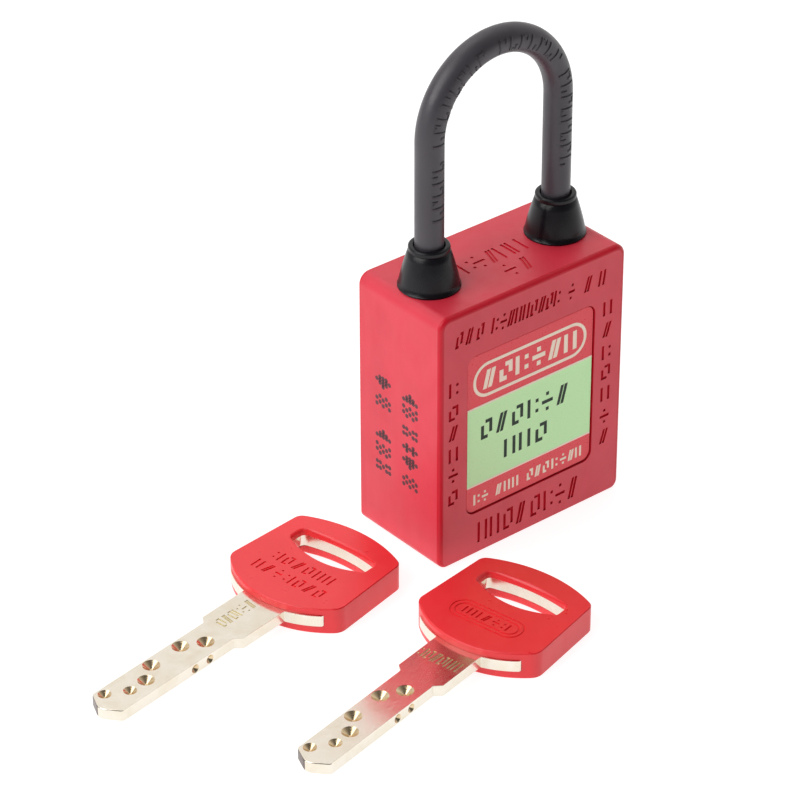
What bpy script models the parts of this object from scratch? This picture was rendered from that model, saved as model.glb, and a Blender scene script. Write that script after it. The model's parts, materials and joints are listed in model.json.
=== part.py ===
"""Safety padlock with a plastic-coated shackle, a dimple-key cylinder and its two keys.

Metres, +Z up.  The padlock is modelled about the centre of its own base, under one
empty; each key is modelled about the point where its blade enters the bow, under an
empty of its own.  The lock is modelled locked, with the cylinder's pins at the shear
line, so that the plug can turn.
"""
import math

import bmesh
import bpy
from mathutils import Matrix, Vector

MM = 0.001

# ---- driving dimensions ---------------------------------------------------------
CLEARANCE = 0.3 * MM

PADLOCK_PLACE = (35.139 * MM, 16.196 * MM)

CASE_WIDTH = 41.6 * MM
CASE_DEPTH = 21.6 * MM
CASE_HEIGHT = 49.6 * MM
CASE_TOP_CORNER = 2.2 * MM
CASE_FOOT_CORNER = 2.0 * MM
CASE_EDGE = 0.8 * MM
CASE_WALL = 2.4 * MM
CAVITY_CORNER = 1.0 * MM
CORE_CORNER = 0.8 * MM
CORE_BOTTOM = 2.6 * MM
LABEL_WIDTH = 28.4 * MM
LABEL_X = -0.4 * MM
LABEL_BOTTOM = 8.7 * MM
LABEL_TOP = 39.9 * MM
LABEL_CORNER = 1.6 * MM
LABEL_THICKNESS = 0.3 * MM
LABEL_RECESS = 0.25 * MM

# where the cover's screws stand, as (x, y)
COVER_SCREWS = ((-14.0 * MM, -5.4 * MM), (14.0 * MM, -5.4 * MM))
SCREW_SHANK = 1.0 * MM
SCREW_HEAD = 2.0 * MM
SCREW_HEAD_HEIGHT = 1.2 * MM
SCREW_HEAD_CHAMFER = 0.2 * MM
SCREW_LENGTH = 9.0 * MM
SCREW_POINT = (0.6 * MM, 0.5 * MM)
SCREW_SOCKET_RADIUS = 1.0 * MM
SCREW_SOCKET_DEPTH = 0.8 * MM

LEG_SPACING = 28.2 * MM
SHACKLE_RADIUS = 2.5 * MM
SHACKLE_TOP = 92.9 * MM
SHACKLE_LIFT = 20.0 * MM
HEEL_BOTTOM = 9.0 * MM
TOE_BOTTOM = 37.5 * MM
FOOT_HEIGHT = 2.7 * MM
LEG_NECK_RADIUS = 1.3 * MM
LEG_CHAMFER = 0.5 * MM
TOE_BORE_SPARE = 2.0 * MM
HEEL_BORE_FLOOR = 1.0 * MM

COLLAR_BASE_RADIUS = 5.4 * MM
COLLAR_TOP_RADIUS = 3.8 * MM
COLLAR_HEIGHT = 7.8 * MM
COLLAR_LIP = 0.4 * MM
COLLAR_FLANGE = 0.6 * MM
COLLAR_STEM_RADIUS = 3.9 * MM
COLLAR_STEM_DEPTH = 1.8 * MM

CYLINDER_Y = -1.5 * MM
CYLINDER_FACE = 0.3 * MM
HOUSING_TOP = 28.2 * MM
HOUSING_RADIUS = 5.9 * MM
PLUG_RADIUS = 4.8 * MM
PLUG_TOP = 31.5 * MM
PLUG_CHAMFER = 0.3 * MM
KEYWAY_TOP = 29.6 * MM
RIB_HALF_WIDTH = 3.5 * MM
RIB_BACK = 7.2 * MM
PIN_RADIUS = 1.0 * MM
PIN_POINT_RADIUS = 0.25 * MM
PIN_POINT_LENGTH = 0.8 * MM
KEY_PIN_FLAT = CYLINDER_Y + 3.8 * MM
KEY_PIN_TIP = CYLINDER_Y + 0.3 * MM
DRIVER_LENGTH = 1.3 * MM
CHAMBER_REACH = 3.0 * MM
CYLINDER_PIN_RADIUS = 1.0 * MM
CYLINDER_PIN_X = HOUSING_RADIUS + 0.3 * MM
CYLINDER_PIN_HEIGHT = 24.0 * MM
CYLINDER_PIN_HALF = 7.0 * MM
STRIP_THICKNESS = 0.6 * MM
STRIP_BACK_GAP = 0.2 * MM
STRIP_INSET = 0.4 * MM
STRIP_BOTTOM = 2.9 * MM
CLIP_BOTTOM = 28.6 * MM
CLIP_THICKNESS = 0.8 * MM
CLIP_GROOVE_RADIUS = 4.3 * MM
CLIP_OUTER_RADIUS = 5.8 * MM
CLIP_HALF_SWEEP = 145.0
TONGUE_DEPTH = 2.2 * MM
TONGUE_HEIGHT = 0.9 * MM

CAM_BOTTOM = 30.9 * MM
CAM_SHOULDER = 33.3 * MM
CAM_TOP = 41.9 * MM
CAM_JOURNAL_RADIUS = 5.3 * MM
CRANK_RADIUS = 4.0 * MM
CRANK_PIN_RADIUS = 1.2 * MM
CRANK_PIN_TOP = 45.9 * MM
CRANK_START = math.radians(45.0)

BOLT_BOTTOM = 42.5 * MM
BOLT_TOP = 46.3 * MM
BOLT_NOSE = 12.7 * MM
BOLT_SHOULDER = 8.0 * MM
BOLT_TAIL = -4.6 * MM
BOLT_FRONT = -3.8 * MM
BOLT_BACK = 4.6 * MM
NOSE_HALF_WIDTH = 2.0 * MM
BOLT_SLOT_HALF_LENGTH = 2.05 * MM
BOLT_SLOT_Y = 2.0 * MM
BOLT_SPRING_Y = -1.6 * MM
BOLT_SPRING_HOLE_RADIUS = 1.25 * MM
BOLT_SPRING_HOLE_DEPTH = 4.2 * MM

STOP_PIN_HEIGHT = 33.0 * MM
STOP_PIN_X = -11.4 * MM
STOP_PIN_RADIUS = 1.0 * MM
STOP_PIN_HALF = 7.5 * MM

# wire radius, radius of the coil, number of turns
BOLT_COIL = (0.2 * MM, 0.85 * MM, 6)
DRIVER_COIL = (0.15 * MM, 0.8 * MM, 3)
SHACKLE_COIL = (0.3 * MM, 1.9 * MM, 5)
SPRING_GAP = 0.1 * MM

BLADE_THICKNESS = 2.1 * MM
BLADE_BOTTOM = 1.6 * MM
BLADE_NECK_WIDTH = 9.3 * MM
BLADE_NECK_LENGTH = 9.1 * MM
BLADE_SHOULDER_LENGTH = 1.1 * MM
BLADE_HALF = 3.45 * MM
BLADE_LENGTH = 38.2 * MM
BLADE_TIP_POINT = 1.6 * MM
BLADE_TIP_FLAT = 0.5 * MM
BLADE_CHAMFER = 0.12 * MM
NECK_GAP = 0.4 * MM
HEAD_GAP = 0.3 * MM
# each corner of the bow as (along the key, across it); the apex is the middle of a bulge
BOW_THICKNESS = 5.0 * MM
BOW_WALL = 1.0 * MM
BOW_EDGE = 0.5 * MM
BOW_SIDE_NEAR = (6.3 * MM, 12.7 * MM)
BOW_SIDE_FAR = (22.4 * MM, 11.6 * MM)
BOW_NEAR_APEX = 0.6 * MM
BOW_NEAR_END = (5.3 * MM, 11.9 * MM)
BOW_FAR_APEX = 25.45 * MM
BOW_FAR_END = (22.9 * MM, 10.9 * MM)
BOW_CORNER_STEP = 0.3 * MM
WINDOW_HALF = 10.6 * MM
WINDOW_DEPTH = 4.9 * MM
POCKET_NEAR = (6.3 * MM, 11.2 * MM)
POCKET_FAR = (21.5 * MM, 9.7 * MM)
POCKET_FAR_APEX = 24.1 * MM
HEAD_NEAR_END = (4.5 * MM, 10.3 * MM)
HEAD_SIDE_NEAR = (6.4 * MM, 10.9 * MM)
HEAD_SIDE_FAR = (21.3 * MM, 9.3 * MM)
HEAD_FAR_APEX = 23.8 * MM
# the key ring's slot: end of each bulging side, then its apex; points of its blunt ends
SLOT_NEAR = ((16.1 * MM, 6.9 * MM), 14.7 * MM)
SLOT_FAR = ((20.1 * MM, 7.2 * MM), 21.2 * MM)
SLOT_END = ((19.5 * MM, 8.1 * MM), (18.2 * MM, 8.5 * MM), (16.8 * MM, 8.0 * MM))

# distance from the bow, offset across the blade, radius at the surface
DIMPLES = (
    (14.0 * MM, -0.6 * MM, 1.50 * MM),
    (17.6 * MM, 1.7 * MM, 1.50 * MM),
    (24.5 * MM, 1.7 * MM, 1.50 * MM),
    (28.0 * MM, -0.5 * MM, 1.45 * MM),
    (31.7 * MM, -0.5 * MM, 1.15 * MM),
    (35.1 * MM, 1.95 * MM, 1.15 * MM),
)
# depth as a part of the radius, radius of the flat bottom as a part of the radius
DIMPLE_SHAPE = (0.65, 0.2)
SIDE_DIMPLES = (16.0 * MM, 19.5 * MM)
SIDE_DIMPLE_RADIUS = 0.78 * MM
# name, place of the blade's root beside the padlock, heading from tip to bow
KEYS = (
    ("key_1", (-53.32 * MM, -2.75 * MM), math.radians(9.5)),
    ("key_2", (-36.82 * MM, -33.65 * MM), math.radians(11.8)),
)

# ---- sizes that follow ----------------------------------------------------------
LEG_X = LEG_SPACING / 2.0
ARCH_CENTRE = SHACKLE_TOP - LEG_X - SHACKLE_RADIUS
BORE_RADIUS = SHACKLE_RADIUS + CLEARANCE
CAVITY_X = CASE_WIDTH / 2.0 - CASE_WALL
CAVITY_Y = CASE_DEPTH / 2.0 - CASE_WALL
CAVITY_TOP = CASE_HEIGHT - CASE_WALL
CORE_X = CAVITY_X - CLEARANCE
CORE_Y = CAVITY_Y - CLEARANCE
CORE_TOP = CAVITY_TOP - CLEARANCE
COVER_TOP = CORE_BOTTOM - CLEARANCE
PLUG_BORE_RADIUS = PLUG_RADIUS + CLEARANCE
CHAMBER_RADIUS = PIN_RADIUS + CLEARANCE
KEYWAY_HALF_WIDTH = BLADE_HALF + 0.3 * MM
KEYWAY_HALF_DEPTH = BLADE_THICKNESS / 2.0 + CLEARANCE
BLADE_TOP = BLADE_BOTTOM + BLADE_THICKNESS
BOLT_TRAVEL = 2.0 * CRANK_RADIUS * math.sin(CRANK_START)
BOLT_MIDDLE = (BOLT_BOTTOM + BOLT_TOP) / 2.0
CRANK_REACH = (CRANK_RADIUS * math.cos(CRANK_START), CRANK_RADIUS * math.sin(CRANK_START))
DRIVER_FRONT = CYLINDER_Y + PLUG_BORE_RADIUS
STRIP_BACK = CAVITY_Y - STRIP_BACK_GAP
OVERCUT = 1.0 * MM


# ---- building blocks ------------------------------------------------------------
def clear_scene():
    for existing in list(bpy.data.objects):
        bpy.data.objects.remove(existing, do_unlink=True)


def material(name, colour, roughness, metallic=0.0):
    made = bpy.data.materials.new(name)
    made.use_nodes = True
    shader = made.node_tree.nodes["Principled BSDF"]
    shader.inputs["Base Color"].default_value = (*colour, 1.0)
    shader.inputs["Roughness"].default_value = roughness
    shader.inputs["Metallic"].default_value = metallic
    made.diffuse_color = (*colour, 1.0)
    return made


def empty(name, place, turn=0.0):
    made = bpy.data.objects.new(name, None)
    made.location = place
    made.rotation_euler = (0.0, 0.0, turn)
    bpy.context.scene.collection.objects.link(made)
    return made


def add(name, bm, parent, paint=None, place=(0.0, 0.0, 0.0), turn=(0.0, 0.0, 0.0), smooth=True):
    """Turn a bmesh into a placed object."""
    bmesh.ops.recalc_face_normals(bm, faces=bm.faces)
    mesh = bpy.data.meshes.new(name)
    bm.to_mesh(mesh)
    bm.free()
    if smooth:
        mesh.shade_smooth()
        mesh.set_sharp_from_angle(angle=math.radians(35.0))
    made = bpy.data.objects.new(name, mesh)
    bpy.context.scene.collection.objects.link(made)
    made.parent = parent
    made.location = place
    made.rotation_euler = turn
    if paint is not None:
        mesh.materials.append(paint)
    return made


def layers(rings, closed=False):
    """Skin rings of points that have equal counts; the ends are capped unless it closes."""
    bm = bmesh.new()
    loops = [[bm.verts.new(point) for point in ring] for ring in rings]
    count = len(loops[0])
    pairs = list(zip(loops, loops[1:]))
    if closed:
        pairs.append((loops[-1], loops[0]))
    for low, high in pairs:
        for i in range(count):
            j = (i + 1) % count
            bm.faces.new((low[i], low[j], high[j], high[i]))
    if not closed:
        bm.faces.new(list(reversed(loops[0])))
        bm.faces.new(loops[-1])
    return bm


def prism(outline, low, high):
    """Extrude an XY outline between two heights."""
    return layers([[(x, y, z) for x, y in outline] for z in (low, high)])


def box(low, high):
    corners = ((low[0], low[1]), (high[0], low[1]), (high[0], high[1]), (low[0], high[1]))
    return prism(corners, low[2], high[2])


def circle(radius, count, centre=(0.0, 0.0), start=0.0):
    return [
        (
            centre[0] + radius * math.cos(start + math.tau * i / count),
            centre[1] + radius * math.sin(start + math.tau * i / count),
        )
        for i in range(count)
    ]


def rod(radius, low, high, count=24, centre=(0.0, 0.0)):
    return prism(circle(radius, count, centre), low, high)


def turned(profile, count=32, bored=False):
    """Spin (radius, height) points about Z: a solid with capped ends, or a bored ring."""
    rings = [[(x, y, height) for x, y in circle(radius, count)] for radius, height in profile]
    return layers(rings, closed=bored)


def arc(centre, radius, start, end, count):
    """Points on an arc between two angles in degrees, both ends included."""
    points = []
    for i in range(count + 1):
        angle = math.radians(start + (end - start) * i / count)
        points.append((centre[0] + radius * math.cos(angle), centre[1] + radius * math.sin(angle)))
    return points


def rounded_rectangle(half_x, half_y, radius, steps=3, centre=(0.0, 0.0)):
    points = []
    for quarter, (side_x, side_y) in enumerate(((1, 1), (-1, 1), (-1, -1), (1, -1))):
        corner = (centre[0] + side_x * (half_x - radius), centre[1] + side_y * (half_y - radius))
        points += arc(corner, radius, 90.0 * quarter, 90.0 * (quarter + 1), steps)
    return points


def coil(form, length, per_turn=10, sides=5):
    """A closed helical wire along +Z, starting at height 0."""
    wire_radius, coil_radius, turns = form
    rings = []
    steps = turns * per_turn
    travel = length - 2.0 * wire_radius
    slope = math.atan2(travel / turns, math.tau * coil_radius)
    for step in range(steps + 1):
        angle = math.tau * step / per_turn
        outward = Vector((math.cos(angle), math.sin(angle), 0.0))
        tangent = Vector((-math.sin(angle), math.cos(angle), 0.0))
        lift = Vector((0.0, 0.0, 1.0)) * math.cos(slope) - tangent * math.sin(slope)
        centre = outward * coil_radius + Vector((0.0, 0.0, wire_radius + travel * step / steps))
        section = circle(wire_radius, sides)
        rings.append([centre + outward * x + lift * y for x, y in section])
    return layers(rings)


def combine(target, tool, operation):
    """Subtract or add one hidden object."""
    tool.hide_render = True
    tool.display_type = "WIRE"
    change = target.modifiers.new("with_" + tool.name, "BOOLEAN")
    change.operation = operation
    change.solver = "EXACT"
    change.object = tool


def cut(target, *cutters):
    for tool in cutters:
        combine(target, tool, "DIFFERENCE")


def soften(target, width, segments, angle=50.0):
    change = target.modifiers.new("edge", "BEVEL")
    change.width = width
    change.segments = segments
    change.limit_method = "ANGLE"
    change.angle_limit = math.radians(angle)
    change.use_clamp_overlap = True
    return target


def lengthwise(bm):
    """Turn a shape drawn in XY and extruded along Z into one drawn in XZ, extruded along Y."""
    bmesh.ops.transform(bm, matrix=Matrix.Rotation(math.radians(90.0), 4, "X"), verts=bm.verts)
    return bm


def crossbar(radius, half_length):
    """A rod that lies along Y."""
    return lengthwise(rod(radius, -half_length, half_length, 16))


def cylinder_outline(growth, back):
    """The lock cylinder's section: a round body with a pin rib that runs to the back."""
    radius = HOUSING_RADIUS + growth
    half = RIB_HALF_WIDTH + growth
    meet = math.degrees(math.asin(half / radius))
    round_part = arc((0.0, CYLINDER_Y), radius, 90.0 + meet, 450.0 - meet, 28)
    return [(half, back), (-half, back)] + round_part


# ---- case -----------------------------------------------------------------------
def case_outline():
    """The case seen from the front: rounder at its top corners than at its foot."""
    half = CASE_WIDTH / 2.0
    top = CASE_HEIGHT - CASE_TOP_CORNER
    foot = CASE_FOOT_CORNER
    return (
        arc((half - CASE_TOP_CORNER, top), CASE_TOP_CORNER, 0.0, 90.0, 5)
        + arc((CASE_TOP_CORNER - half, top), CASE_TOP_CORNER, 90.0, 180.0, 5)
        + arc((foot - half, foot), foot, 180.0, 270.0, 4)
        + arc((half - foot, foot), foot, 270.0, 360.0, 4)
    )


def build_case(base, plastic):
    shell = lengthwise(prism(case_outline(), -CASE_DEPTH / 2.0, CASE_DEPTH / 2.0))
    case = soften(add("case", shell, base, plastic), CASE_EDGE, 3)
    hollow = prism(rounded_rectangle(CAVITY_X, CAVITY_Y, CAVITY_CORNER), -OVERCUT, CAVITY_TOP)
    tools = [add("case_hollow", hollow, base)]
    for side, x in (("left", -LEG_X), ("right", LEG_X)):
        hole = rod(COLLAR_STEM_RADIUS + CLEARANCE, CAVITY_TOP - OVERCUT, CASE_HEIGHT + OVERCUT)
        tools.append(add("case_hole_" + side, hole, base, place=(x, 0.0, 0.0)))
    pocket_floor = CASE_DEPTH / 2.0 - LABEL_RECESS - LABEL_THICKNESS - CLEARANCE
    pocket = lengthwise(prism(label_outline(CLEARANCE), pocket_floor, CASE_DEPTH))
    tools.append(add("case_label_pocket", pocket, base))
    cut(case, *tools)


def label_outline(growth):
    half_height = (LABEL_TOP - LABEL_BOTTOM) / 2.0 + growth
    middle = (LABEL_X, (LABEL_TOP + LABEL_BOTTOM) / 2.0)
    return rounded_rectangle(LABEL_WIDTH / 2.0 + growth, half_height, LABEL_CORNER + growth, 4, middle)


def build_label(base, film):
    front = CASE_DEPTH / 2.0 - LABEL_RECESS
    plate = lengthwise(prism(label_outline(0.0), front - LABEL_THICKNESS, front))
    add("label", plate, base, film)


def build_collars(base, rubber):
    profile = (
        (COLLAR_BASE_RADIUS, CLEARANCE),
        (COLLAR_STEM_RADIUS, CLEARANCE),
        (COLLAR_STEM_RADIUS, -COLLAR_STEM_DEPTH),
        (BORE_RADIUS, -COLLAR_STEM_DEPTH),
        (BORE_RADIUS, COLLAR_HEIGHT),
        (COLLAR_TOP_RADIUS - COLLAR_LIP, COLLAR_HEIGHT),
        (COLLAR_TOP_RADIUS, COLLAR_HEIGHT - COLLAR_LIP),
        (COLLAR_BASE_RADIUS, CLEARANCE + COLLAR_FLANGE),
    )
    for side, x in (("left", -LEG_X), ("right", LEG_X)):
        add("collar_" + side, turned(profile, 28, bored=True), base, rubber, (x, 0.0, CASE_HEIGHT))


def build_cover(base, plastic, steel):
    plate = prism(rounded_rectangle(CORE_X, CORE_Y, CORE_CORNER), 0.0, COVER_TOP)
    cover = add("bottom_cover", plate, base, plastic)
    opening = prism(cylinder_outline(CLEARANCE, RIB_BACK + CLEARANCE), -OVERCUT, COVER_TOP + OVERCUT)
    tools = [add("cover_opening", opening, base)]
    for number, (x, y) in enumerate(COVER_SCREWS, 1):
        seat = CYLINDER_FACE + SCREW_HEAD_HEIGHT + CLEARANCE
        counterbore = rod(SCREW_HEAD + CLEARANCE, -OVERCUT, seat, 20)
        hole = rod(SCREW_SHANK + CLEARANCE, 0.0, COVER_TOP + OVERCUT, 16)
        tools.append(add("cover_counterbore_%d" % number, counterbore, base, place=(x, y, 0.0)))
        tools.append(add("cover_hole_%d" % number, hole, base, place=(x, y, 0.0)))
        build_screw("cover_screw_%d" % number, base, steel, (x, y, CYLINDER_FACE))
    cut(cover, *tools)


def build_screw(name, base, steel, place):
    profile = (
        (SCREW_HEAD - SCREW_HEAD_CHAMFER, 0.0),
        (SCREW_HEAD, SCREW_HEAD_CHAMFER),
        (SCREW_HEAD, SCREW_HEAD_HEIGHT),
        (SCREW_SHANK, SCREW_HEAD_HEIGHT),
        (SCREW_SHANK, SCREW_LENGTH - SCREW_POINT[1]),
        (SCREW_POINT[0], SCREW_LENGTH),
    )
    screw = add(name, turned(profile, 20), base, steel, place)
    socket = rod(SCREW_SOCKET_RADIUS, -OVERCUT, SCREW_SOCKET_DEPTH, 6)
    cut(screw, add(name + "_socket", socket, base, place=place))


def build_core(base, zinc):
    block = prism(rounded_rectangle(CORE_X, CORE_Y, CORE_CORNER), CORE_BOTTOM, CORE_TOP)
    core = add("inner_core", block, base, zinc)
    cylinder_axis = (0.0, CYLINDER_Y)
    cylinder_room = prism(cylinder_outline(CLEARANCE, CASE_DEPTH), -OVERCUT, HOUSING_TOP + CLEARANCE)
    bolt_room = box(
        (BOLT_TAIL - BOLT_TRAVEL - 2.0 * CLEARANCE, BOLT_FRONT - CLEARANCE, BOLT_BOTTOM - CLEARANCE),
        (LEG_X, BOLT_BACK + CLEARANCE, CASE_HEIGHT),
    )
    heel_bore = rod(BORE_RADIUS, CORE_BOTTOM + HEEL_BORE_FLOOR, CASE_HEIGHT)
    toe_bore = rod(BORE_RADIUS, TOE_BOTTOM - TOE_BORE_SPARE, CASE_HEIGHT)
    cam_room = rod(HOUSING_RADIUS + CLEARANCE, HOUSING_TOP, CAM_SHOULDER + CLEARANCE, 28, cylinder_axis)
    journal_bore = rod(CAM_JOURNAL_RADIUS + CLEARANCE, CAM_SHOULDER, BOLT_BOTTOM, 28, cylinder_axis)
    stop_pin_hole = crossbar(STOP_PIN_RADIUS + CLEARANCE, CASE_DEPTH)
    cylinder_pin_hole = crossbar(CYLINDER_PIN_RADIUS + CLEARANCE, CASE_DEPTH)
    tools = [
        add("core_heel_bore", heel_bore, base, place=(-LEG_X, 0.0, 0.0)),
        add("core_toe_bore", toe_bore, base, place=(LEG_X, 0.0, 0.0)),
        add("core_cylinder_room", cylinder_room, base),
        add("core_cam_room", cam_room, base),
        add("core_journal_bore", journal_bore, base),
        add("core_bolt_room", bolt_room, base),
        add("core_stop_pin_hole", stop_pin_hole, base, place=(STOP_PIN_X, 0.0, STOP_PIN_HEIGHT)),
        add("core_cylinder_pin_hole", cylinder_pin_hole, base,
            place=(CYLINDER_PIN_X, 0.0, CYLINDER_PIN_HEIGHT)),
    ]
    for number, (x, y) in enumerate(COVER_SCREWS, 1):
        hole = rod(SCREW_SHANK + CLEARANCE, 0.0, SCREW_LENGTH + OVERCUT, 16)
        tools.append(add("core_screw_hole_%d" % number, hole, base, place=(x, y, 0.0)))
    cut(core, *tools)


# ---- cylinder -------------------------------------------------------------------
def pin_places():
    """Where each dimple of an inserted key meets its pin stack, as (x, z)."""
    return [(-across, CYLINDER_FACE + along - BLADE_NECK_LENGTH) for along, across, _ in DIMPLES]


def build_housing(base, brass):
    body = prism(cylinder_outline(0.0, RIB_BACK), CYLINDER_FACE, HOUSING_TOP)
    housing = add("cylinder_housing", body, base, brass)
    bore = rod(PLUG_BORE_RADIUS, -OVERCUT, HOUSING_TOP + OVERCUT, 32, (0.0, CYLINDER_Y))
    pin_groove = crossbar(CYLINDER_PIN_RADIUS + CLEARANCE, CASE_DEPTH)
    tools = [
        add("housing_bore", bore, base),
        add("housing_pin_groove", pin_groove, base, place=(CYLINDER_PIN_X, 0.0, CYLINDER_PIN_HEIGHT)),
    ]
    for number, (x, z) in enumerate(pin_places(), 1):
        chamber = lengthwise(rod(CHAMBER_RADIUS, -CASE_DEPTH, -CYLINDER_Y, 16))
        tools.append(add("housing_chamber_%d" % number, chamber, base, place=(x, 0.0, z)))
    cut(housing, *tools)


def build_plug(base, brass):
    groove = CLIP_BOTTOM - CLEARANCE
    profile = (
        (PLUG_RADIUS - PLUG_CHAMFER, CYLINDER_FACE),
        (PLUG_RADIUS, CYLINDER_FACE + PLUG_CHAMFER),
        (PLUG_RADIUS, groove),
        (CLIP_GROOVE_RADIUS, groove),
        (CLIP_GROOVE_RADIUS, groove + CLIP_THICKNESS + 2.0 * CLEARANCE),
        (PLUG_RADIUS, groove + CLIP_THICKNESS + 2.0 * CLEARANCE),
        (PLUG_RADIUS, PLUG_TOP),
    )
    plug = add("plug", turned(profile), base, brass, (0.0, CYLINDER_Y, 0.0))
    flank = PLUG_RADIUS + OVERCUT
    tools = []
    for name, side in (("front", -1.0), ("back", 1.0)):
        ends = sorted((side * TONGUE_DEPTH / 2.0, side * flank))
        low = (-flank, ends[0], PLUG_TOP - TONGUE_HEIGHT)
        waste = box(low, (flank, ends[1], PLUG_TOP + OVERCUT))
        tools.append(add("plug_tongue_" + name, waste, base, place=(0.0, CYLINDER_Y, 0.0)))
    keyway = box(
        (-KEYWAY_HALF_WIDTH, CYLINDER_Y - KEYWAY_HALF_DEPTH, -OVERCUT),
        (KEYWAY_HALF_WIDTH, CYLINDER_Y + KEYWAY_HALF_DEPTH, KEYWAY_TOP),
    )
    tools.append(add("plug_keyway", keyway, base))
    for number, (x, z) in enumerate(pin_places(), 1):
        chamber = lengthwise(rod(CHAMBER_RADIUS, -CASE_DEPTH, -CYLINDER_Y, 16))
        tools.append(add("plug_chamber_%d" % number, chamber, base, place=(x, 0.0, z)))
    cut(plug, *tools)


def build_clip(base, steel):
    """A C-shaped clip in the plug's groove, open towards -X."""
    inner = CLIP_GROOVE_RADIUS + CLEARANCE
    sweep = CLIP_HALF_SWEEP
    outer = arc((0.0, 0.0), CLIP_OUTER_RADIUS, -sweep, sweep, 20)
    outline = outer + arc((0.0, 0.0), inner, sweep, -sweep, 20)
    clip = prism(outline, CLIP_BOTTOM, CLIP_BOTTOM + CLIP_THICKNESS)
    add("plug_clip", clip, base, steel, (0.0, CYLINDER_Y, 0.0))


def build_pins(base, brass, steel):
    pointed = (
        (PIN_POINT_RADIUS, KEY_PIN_TIP),
        (PIN_RADIUS, KEY_PIN_TIP + PIN_POINT_LENGTH),
        (PIN_RADIUS, KEY_PIN_FLAT),
    )
    flat = ((PIN_RADIUS, DRIVER_FRONT), (PIN_RADIUS, DRIVER_FRONT + DRIVER_LENGTH))
    spring_front = DRIVER_FRONT + DRIVER_LENGTH + SPRING_GAP
    along_y = (math.radians(-90.0), 0.0, 0.0)
    for number, (x, z) in enumerate(pin_places(), 1):
        spring = coil(DRIVER_COIL, RIB_BACK - spring_front, per_turn=8, sides=4)
        add("key_pin_%d" % number, turned(pointed, 16), base, brass, (x, 0.0, z), along_y)
        add("driver_pin_%d" % number, turned(flat, 16), base, steel, (x, 0.0, z), along_y)
        add("driver_spring_%d" % number, spring, base, steel, (x, spring_front, z), along_y)


def build_chamber_strip(base, brass):
    low = (-RIB_HALF_WIDTH + STRIP_INSET, STRIP_BACK - STRIP_THICKNESS, STRIP_BOTTOM)
    high = (RIB_HALF_WIDTH - STRIP_INSET, STRIP_BACK, HOUSING_TOP - STRIP_INSET)
    add("chamber_strip", box(low, high), base, brass)


def build_cylinder_pin(base, steel):
    pin = crossbar(CYLINDER_PIN_RADIUS, CYLINDER_PIN_HALF)
    add("cylinder_pin", pin, base, steel, (CYLINDER_PIN_X, 0.0, CYLINDER_PIN_HEIGHT))


def build_cam(base, steel):
    """Stepped spindle that the plug's tongue turns, with an eccentric pin on top."""
    profile = (
        (HOUSING_RADIUS, CAM_BOTTOM),
        (HOUSING_RADIUS, CAM_SHOULDER),
        (CAM_JOURNAL_RADIUS, CAM_SHOULDER),
        (CAM_JOURNAL_RADIUS, CAM_TOP),
    )
    cam = add("cam", turned(profile), base, steel, (0.0, CYLINDER_Y, 0.0))
    slot_half = TONGUE_DEPTH / 2.0 + CLEARANCE
    reach = 2.0 * HOUSING_RADIUS
    slot = box((-reach, -slot_half, CAM_BOTTOM - OVERCUT), (reach, slot_half, PLUG_TOP + CLEARANCE))
    crank = rod(CRANK_PIN_RADIUS, CAM_TOP - OVERCUT, CRANK_PIN_TOP, 16, CRANK_REACH)
    cut(cam, add("cam_slot", slot, base, place=(0.0, CYLINDER_Y, 0.0)))
    combine(cam, add("cam_crank_form", crank, base, place=(0.0, CYLINDER_Y, 0.0)), "UNION")


# ---- bolt -----------------------------------------------------------------------
def build_bolt(base, steel):
    outline = (
        (BOLT_TAIL, BOLT_FRONT),
        (BOLT_SHOULDER, BOLT_FRONT),
        (BOLT_SHOULDER, -NOSE_HALF_WIDTH),
        (BOLT_NOSE, -NOSE_HALF_WIDTH),
        (BOLT_NOSE, NOSE_HALF_WIDTH),
        (BOLT_SHOULDER, NOSE_HALF_WIDTH),
        (BOLT_SHOULDER, BOLT_BACK),
        (BOLT_TAIL, BOLT_BACK),
    )
    bolt = add("lock_bolt", prism(outline, BOLT_BOTTOM, BOLT_TOP), base, steel)
    half = CRANK_PIN_RADIUS + CLEARANCE
    middle = (CRANK_REACH[0], BOLT_SLOT_Y)
    slot_section = rounded_rectangle(half, BOLT_SLOT_HALF_LENGTH, half - SPRING_GAP, 4, middle)
    slot = prism(slot_section, BOLT_BOTTOM - OVERCUT, BOLT_TOP + OVERCUT)
    spring_hole = rod(BOLT_SPRING_HOLE_RADIUS, -OVERCUT, BOLT_SPRING_HOLE_DEPTH, 16)
    along_x = (0.0, math.radians(90.0), 0.0)
    mouth = (BOLT_TAIL, BOLT_SPRING_Y, BOLT_MIDDLE)
    cut(
        bolt,
        add("bolt_slot", slot, base),
        add("bolt_spring_hole", spring_hole, base, place=mouth, turn=along_x),
    )
    start = BOLT_TAIL - BOLT_TRAVEL - CLEARANCE
    end = BOLT_TAIL + BOLT_SPRING_HOLE_DEPTH - SPRING_GAP
    spring = coil(BOLT_COIL, end - start, per_turn=8)
    add("bolt_spring", spring, base, steel, (start, BOLT_SPRING_Y, BOLT_MIDDLE), along_x)


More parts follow.
